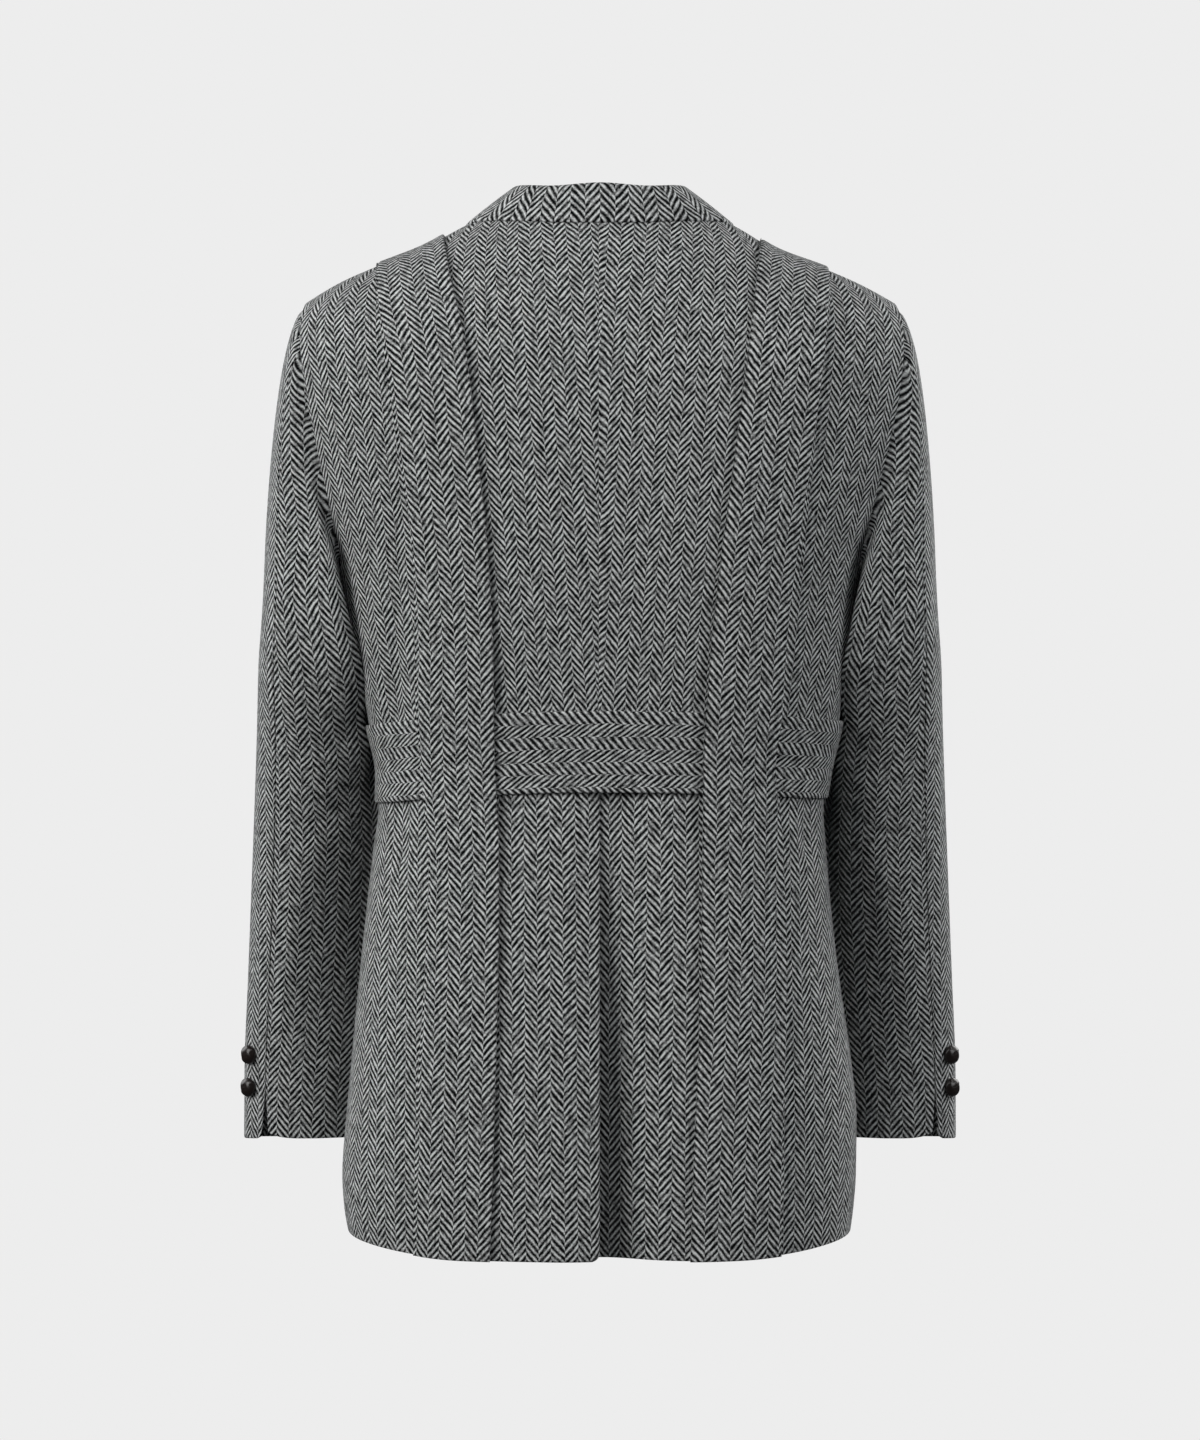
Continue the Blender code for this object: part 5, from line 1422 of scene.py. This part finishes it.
class JacketColours(bpy.types.PropertyGroup):
    """Colours of the yarns, leather and backdrop, linear."""
    light_yarn: FloatVectorProperty(
        name="Light yarn", description="Pale grey wool", subtype="COLOR", size=3, default=linear("#F3F5F5"))
    dark_yarn: FloatVectorProperty(
        name="Dark yarn", description="Black-brown wool", subtype="COLOR", size=3, default=linear("#0C0D0E"))
    leather: FloatVectorProperty(
        name="Leather", description="Dark brown leather", subtype="COLOR", size=3, default=linear("#1E1512"))
    backdrop: FloatVectorProperty(
        name="Backdrop", description="Pale studio paper", subtype="COLOR", size=3, default=linear("#EDEDED"))


class JACKET_OT_back(bpy.types.Operator):
    """Make both halves of the back, with the centre seam and vent"""
    bl_idname = "jacket.back"
    bl_label = "Back"

    def execute(self, context):
        for word, side in SIDES:
            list(body_panel(word, side, 1))
        return {"FINISHED"}


class JACKET_OT_front(bpy.types.Operator):
    """Make the plain foreparts, left over right"""
    bl_idname = "jacket.front"
    bl_label = "Front"

    def execute(self, context):
        for word, side in SIDES:
            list(body_panel(word, side, -1))
        return {"FINISHED"}


class JACKET_OT_lapels(bpy.types.Operator):
    """Make the notch lapels"""
    bl_idname = "jacket.lapels"
    bl_label = "Lapels"

    def execute(self, context):
        for (word, side), foot in zip(SIDES, (LAPEL_FOOT_LEFT, LAPEL_FOOT_RIGHT)):
            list(lapel(word, side, foot))
        return {"FINISHED"}


class JACKET_OT_collar(bpy.types.Operator):
    """Make the collar, folded over at the neck"""
    bl_idname = "jacket.collar"
    bl_label = "Collar"

    def execute(self, context):
        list(collar())
        return {"FINISHED"}


class JACKET_OT_straps(bpy.types.Operator):
    """Make the two straps of the back"""
    bl_idname = "jacket.straps"
    bl_label = "Straps"

    def execute(self, context):
        tables = ((STRAP_LEFT, STRAP_EDGES_LEFT), (STRAP_RIGHT, STRAP_EDGES_RIGHT))
        for (word, side), (table, edges) in zip(SIDES, tables):
            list(strap(word, side, table, edges))
        return {"FINISHED"}


class JACKET_OT_belt(bpy.types.Operator):
    """Make the half belt across the back"""
    bl_idname = "jacket.belt"
    bl_label = "Belt"

    def execute(self, context):
        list(belt())
        return {"FINISHED"}


class JACKET_OT_sleeves(bpy.types.Operator):
    """Make the two-piece sleeves"""
    bl_idname = "jacket.sleeves"
    bl_label = "Sleeves"

    def execute(self, context):
        tables = ((SLEEVE_CREASES_LEFT, SLEEVE_SLOPE_LEFT), (SLEEVE_CREASES_RIGHT, SLEEVE_SLOPE_RIGHT))
        halves = (("upper", FOREARM_ANGLE - 360.0, HINDARM_ANGLE, 0.0, 1.0),
                  ("under", HINDARM_ANGLE, FOREARM_ANGLE, 1.0, 0.0))
        for (word, side), (table, slope) in zip(SIDES, tables):
            for part, *span in halves:
                half = sleeve_half("sleeve_" + word + "_" + part, side, *span, table, slope)
        return {"FINISHED"}


class JACKET_OT_buttons(bpy.types.Operator):
    """Make the leather buttons of the cuffs and the front"""
    bl_idname = "jacket.buttons"
    bl_label = "Buttons"

    def execute(self, context):
        turn = np.array(CUFF_BUTTON_ANGLE)
        for word, side in SIDES:
            for place, height in zip(("upper", "lower"), CUFF_BUTTON_HEIGHTS):
                t = 1.0 + (height - SLEEVE_TOP_RING) / (CUFF_HEIGHT - SLEEVE_TOP_RING) + 0.0 * turn
                node = "cuff_button_" + word + "_" + place
                axis = sleeve_normal(side, turn, t) + np.array([0.0, CUFF_BUTTON_LEAN, 0.0])
                axis = axis / np.linalg.norm(axis)
                button(node, sleeve_point(side, turn, t), axis, CUFF_BUTTON_TURN)
        for place, height in zip(("upper", "middle", "lower"), FRONT_BUTTON_HEIGHTS):
            seat = body_place(np.array(0.0), np.array(height), np.array(-1.0))
            button("front_button_" + place, seat, body_normal(seat), FRONT_BUTTON_TURN)
        return {"FINISHED"}


class JACKET_OT_stage(bpy.types.Operator):
    """Make the pale floor and backdrop, the soft lights and the camera"""
    bl_idname = "jacket.stage"
    bl_label = "Stage"

    def execute(self, context):
        make_floor()
        make_world()
        for row in LIGHTS:
            make_light(*row)
        make_camera()
        return {"FINISHED"}


def make_floor():
    """Round pale floor, evenly bright as lit paper."""
    turn = 2.0 * math.pi * np.arange(FLOOR_CORNERS) / FLOOR_CORNERS
    level = np.full(FLOOR_CORNERS, FLOOR_HEIGHT)
    points = np.stack([FLOOR_RADIUS * np.cos(turn), FLOOR_RADIUS * np.sin(turn), level], axis=-1)
    floor = add_mesh("floor", points, [list(range(FLOOR_CORNERS))])
    material, _, shader = new_material("studio_paper")
    shader.inputs["Base Color"].default_value = (0.0, 0.0, 0.0, 1.0)
    shader.inputs["Specular IOR Level"].default_value = 0.0
    shader.inputs["Emission Color"].default_value = (*bpy.context.scene.jacket_colours.backdrop, 1.0)
    shader.inputs["Emission Strength"].default_value = 1.0
    floor.data.materials.append(material)
    floor.visible_diffuse = False
    floor.visible_glossy = False
    floor.visible_shadow = False


def make_world():
    """Even pale surroundings, dimmer as a light than they look to the camera."""
    world = bpy.data.worlds.new("studio")
    bpy.context.scene.world = world
    world.use_nodes = True
    tree = world.node_tree
    tree.nodes.clear()
    paper = (*bpy.context.scene.jacket_colours.backdrop, 1.0)
    seen = add_node(tree, "ShaderNodeBackground", {}, Color=paper, Strength=1.0)[0]
    lit = add_node(tree, "ShaderNodeBackground", {}, Color=AMBIENT_COLOUR, Strength=AMBIENT)[0]
    path = add_node(tree, "ShaderNodeLightPath")
    mix = add_node(tree, "ShaderNodeMixShader", {}, i0=path["Is Camera Ray"], i1=lit, i2=seen)[0]
    add_node(tree, "ShaderNodeOutputWorld", {}, Surface=mix)


def make_light(name, place, size, power, colour):
    """Square soft light aimed at the middle of the jacket."""
    data = bpy.data.lights.new(name, "AREA")
    data.shape = "SQUARE"
    data.size = size
    data.energy = power
    data.color = colour
    lamp = bpy.data.objects.new(name, data)
    bpy.context.scene.collection.objects.link(lamp)
    lamp.location = place
    aim = np.array(LIGHT_AIM) - np.array(place)
    lamp.rotation_euler = (math.acos(-aim[2] / np.linalg.norm(aim)), 0.0, math.atan2(-aim[0], aim[1]) + 0.0)
    lamp.visible_camera = False


def make_camera():
    """Camera straight behind the jacket, at the height of its middle."""
    data = bpy.data.cameras.new("camera")
    data.lens = CAMERA_LENS
    data.sensor_width = CAMERA_SENSOR
    camera = bpy.data.objects.new("camera", data)
    bpy.context.scene.collection.objects.link(camera)
    camera.location = CAMERA_PLACE
    camera.rotation_euler = (0.5 * math.pi, 0.0, math.pi)
    bpy.context.scene.camera = camera
    bpy.context.scene.view_settings.view_transform = "Standard"


OPERATORS = (
    JACKET_OT_back, JACKET_OT_front, JACKET_OT_lapels, JACKET_OT_collar, JACKET_OT_belt, JACKET_OT_straps,
    JACKET_OT_sleeves, JACKET_OT_buttons, JACKET_OT_stage,
)


class JACKET_PT_panel(bpy.types.Panel):
    """Lists every piece of the jacket"""
    bl_label = "Norfolk jacket"
    bl_idname = "JACKET_PT_panel"
    bl_space_type = "VIEW_3D"
    bl_region_type = "UI"
    bl_category = "Jacket"

    def draw(self, context):
        for operator in OPERATORS:
            self.layout.operator(operator.bl_idname)
        for group in (context.scene.jacket_sizes, context.scene.jacket_weave, context.scene.jacket_colours):
            for name in group.__annotations__:
                self.layout.prop(group, name)


CLASSES = (JacketSizes, JacketWeave, JacketColours, *OPERATORS, JACKET_PT_panel)


def register():
    """Registers the classes and hangs the three property groups on the scene."""
    for item in CLASSES:
        bpy.utils.register_class(item)
    bpy.types.Scene.jacket_sizes = PointerProperty(type=JacketSizes)
    bpy.types.Scene.jacket_weave = PointerProperty(type=JacketWeave)
    bpy.types.Scene.jacket_colours = PointerProperty(type=JacketColours)


def unregister():
    """Takes the property groups and the classes away again."""
    for name in ("jacket_sizes", "jacket_weave", "jacket_colours"):
        delattr(bpy.types.Scene, name)
    for item in reversed(CLASSES):
        bpy.utils.unregister_class(item)


def main():
    """Registers the classes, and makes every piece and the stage."""
    register()
    bpy.ops.jacket.back()
    bpy.ops.jacket.front()
    bpy.ops.jacket.lapels()
    bpy.ops.jacket.collar()
    bpy.ops.jacket.belt()
    bpy.ops.jacket.straps()
    bpy.ops.jacket.sleeves()
    bpy.ops.jacket.buttons()
    bpy.ops.jacket.stage()


if __name__ == "__main__":
    main()
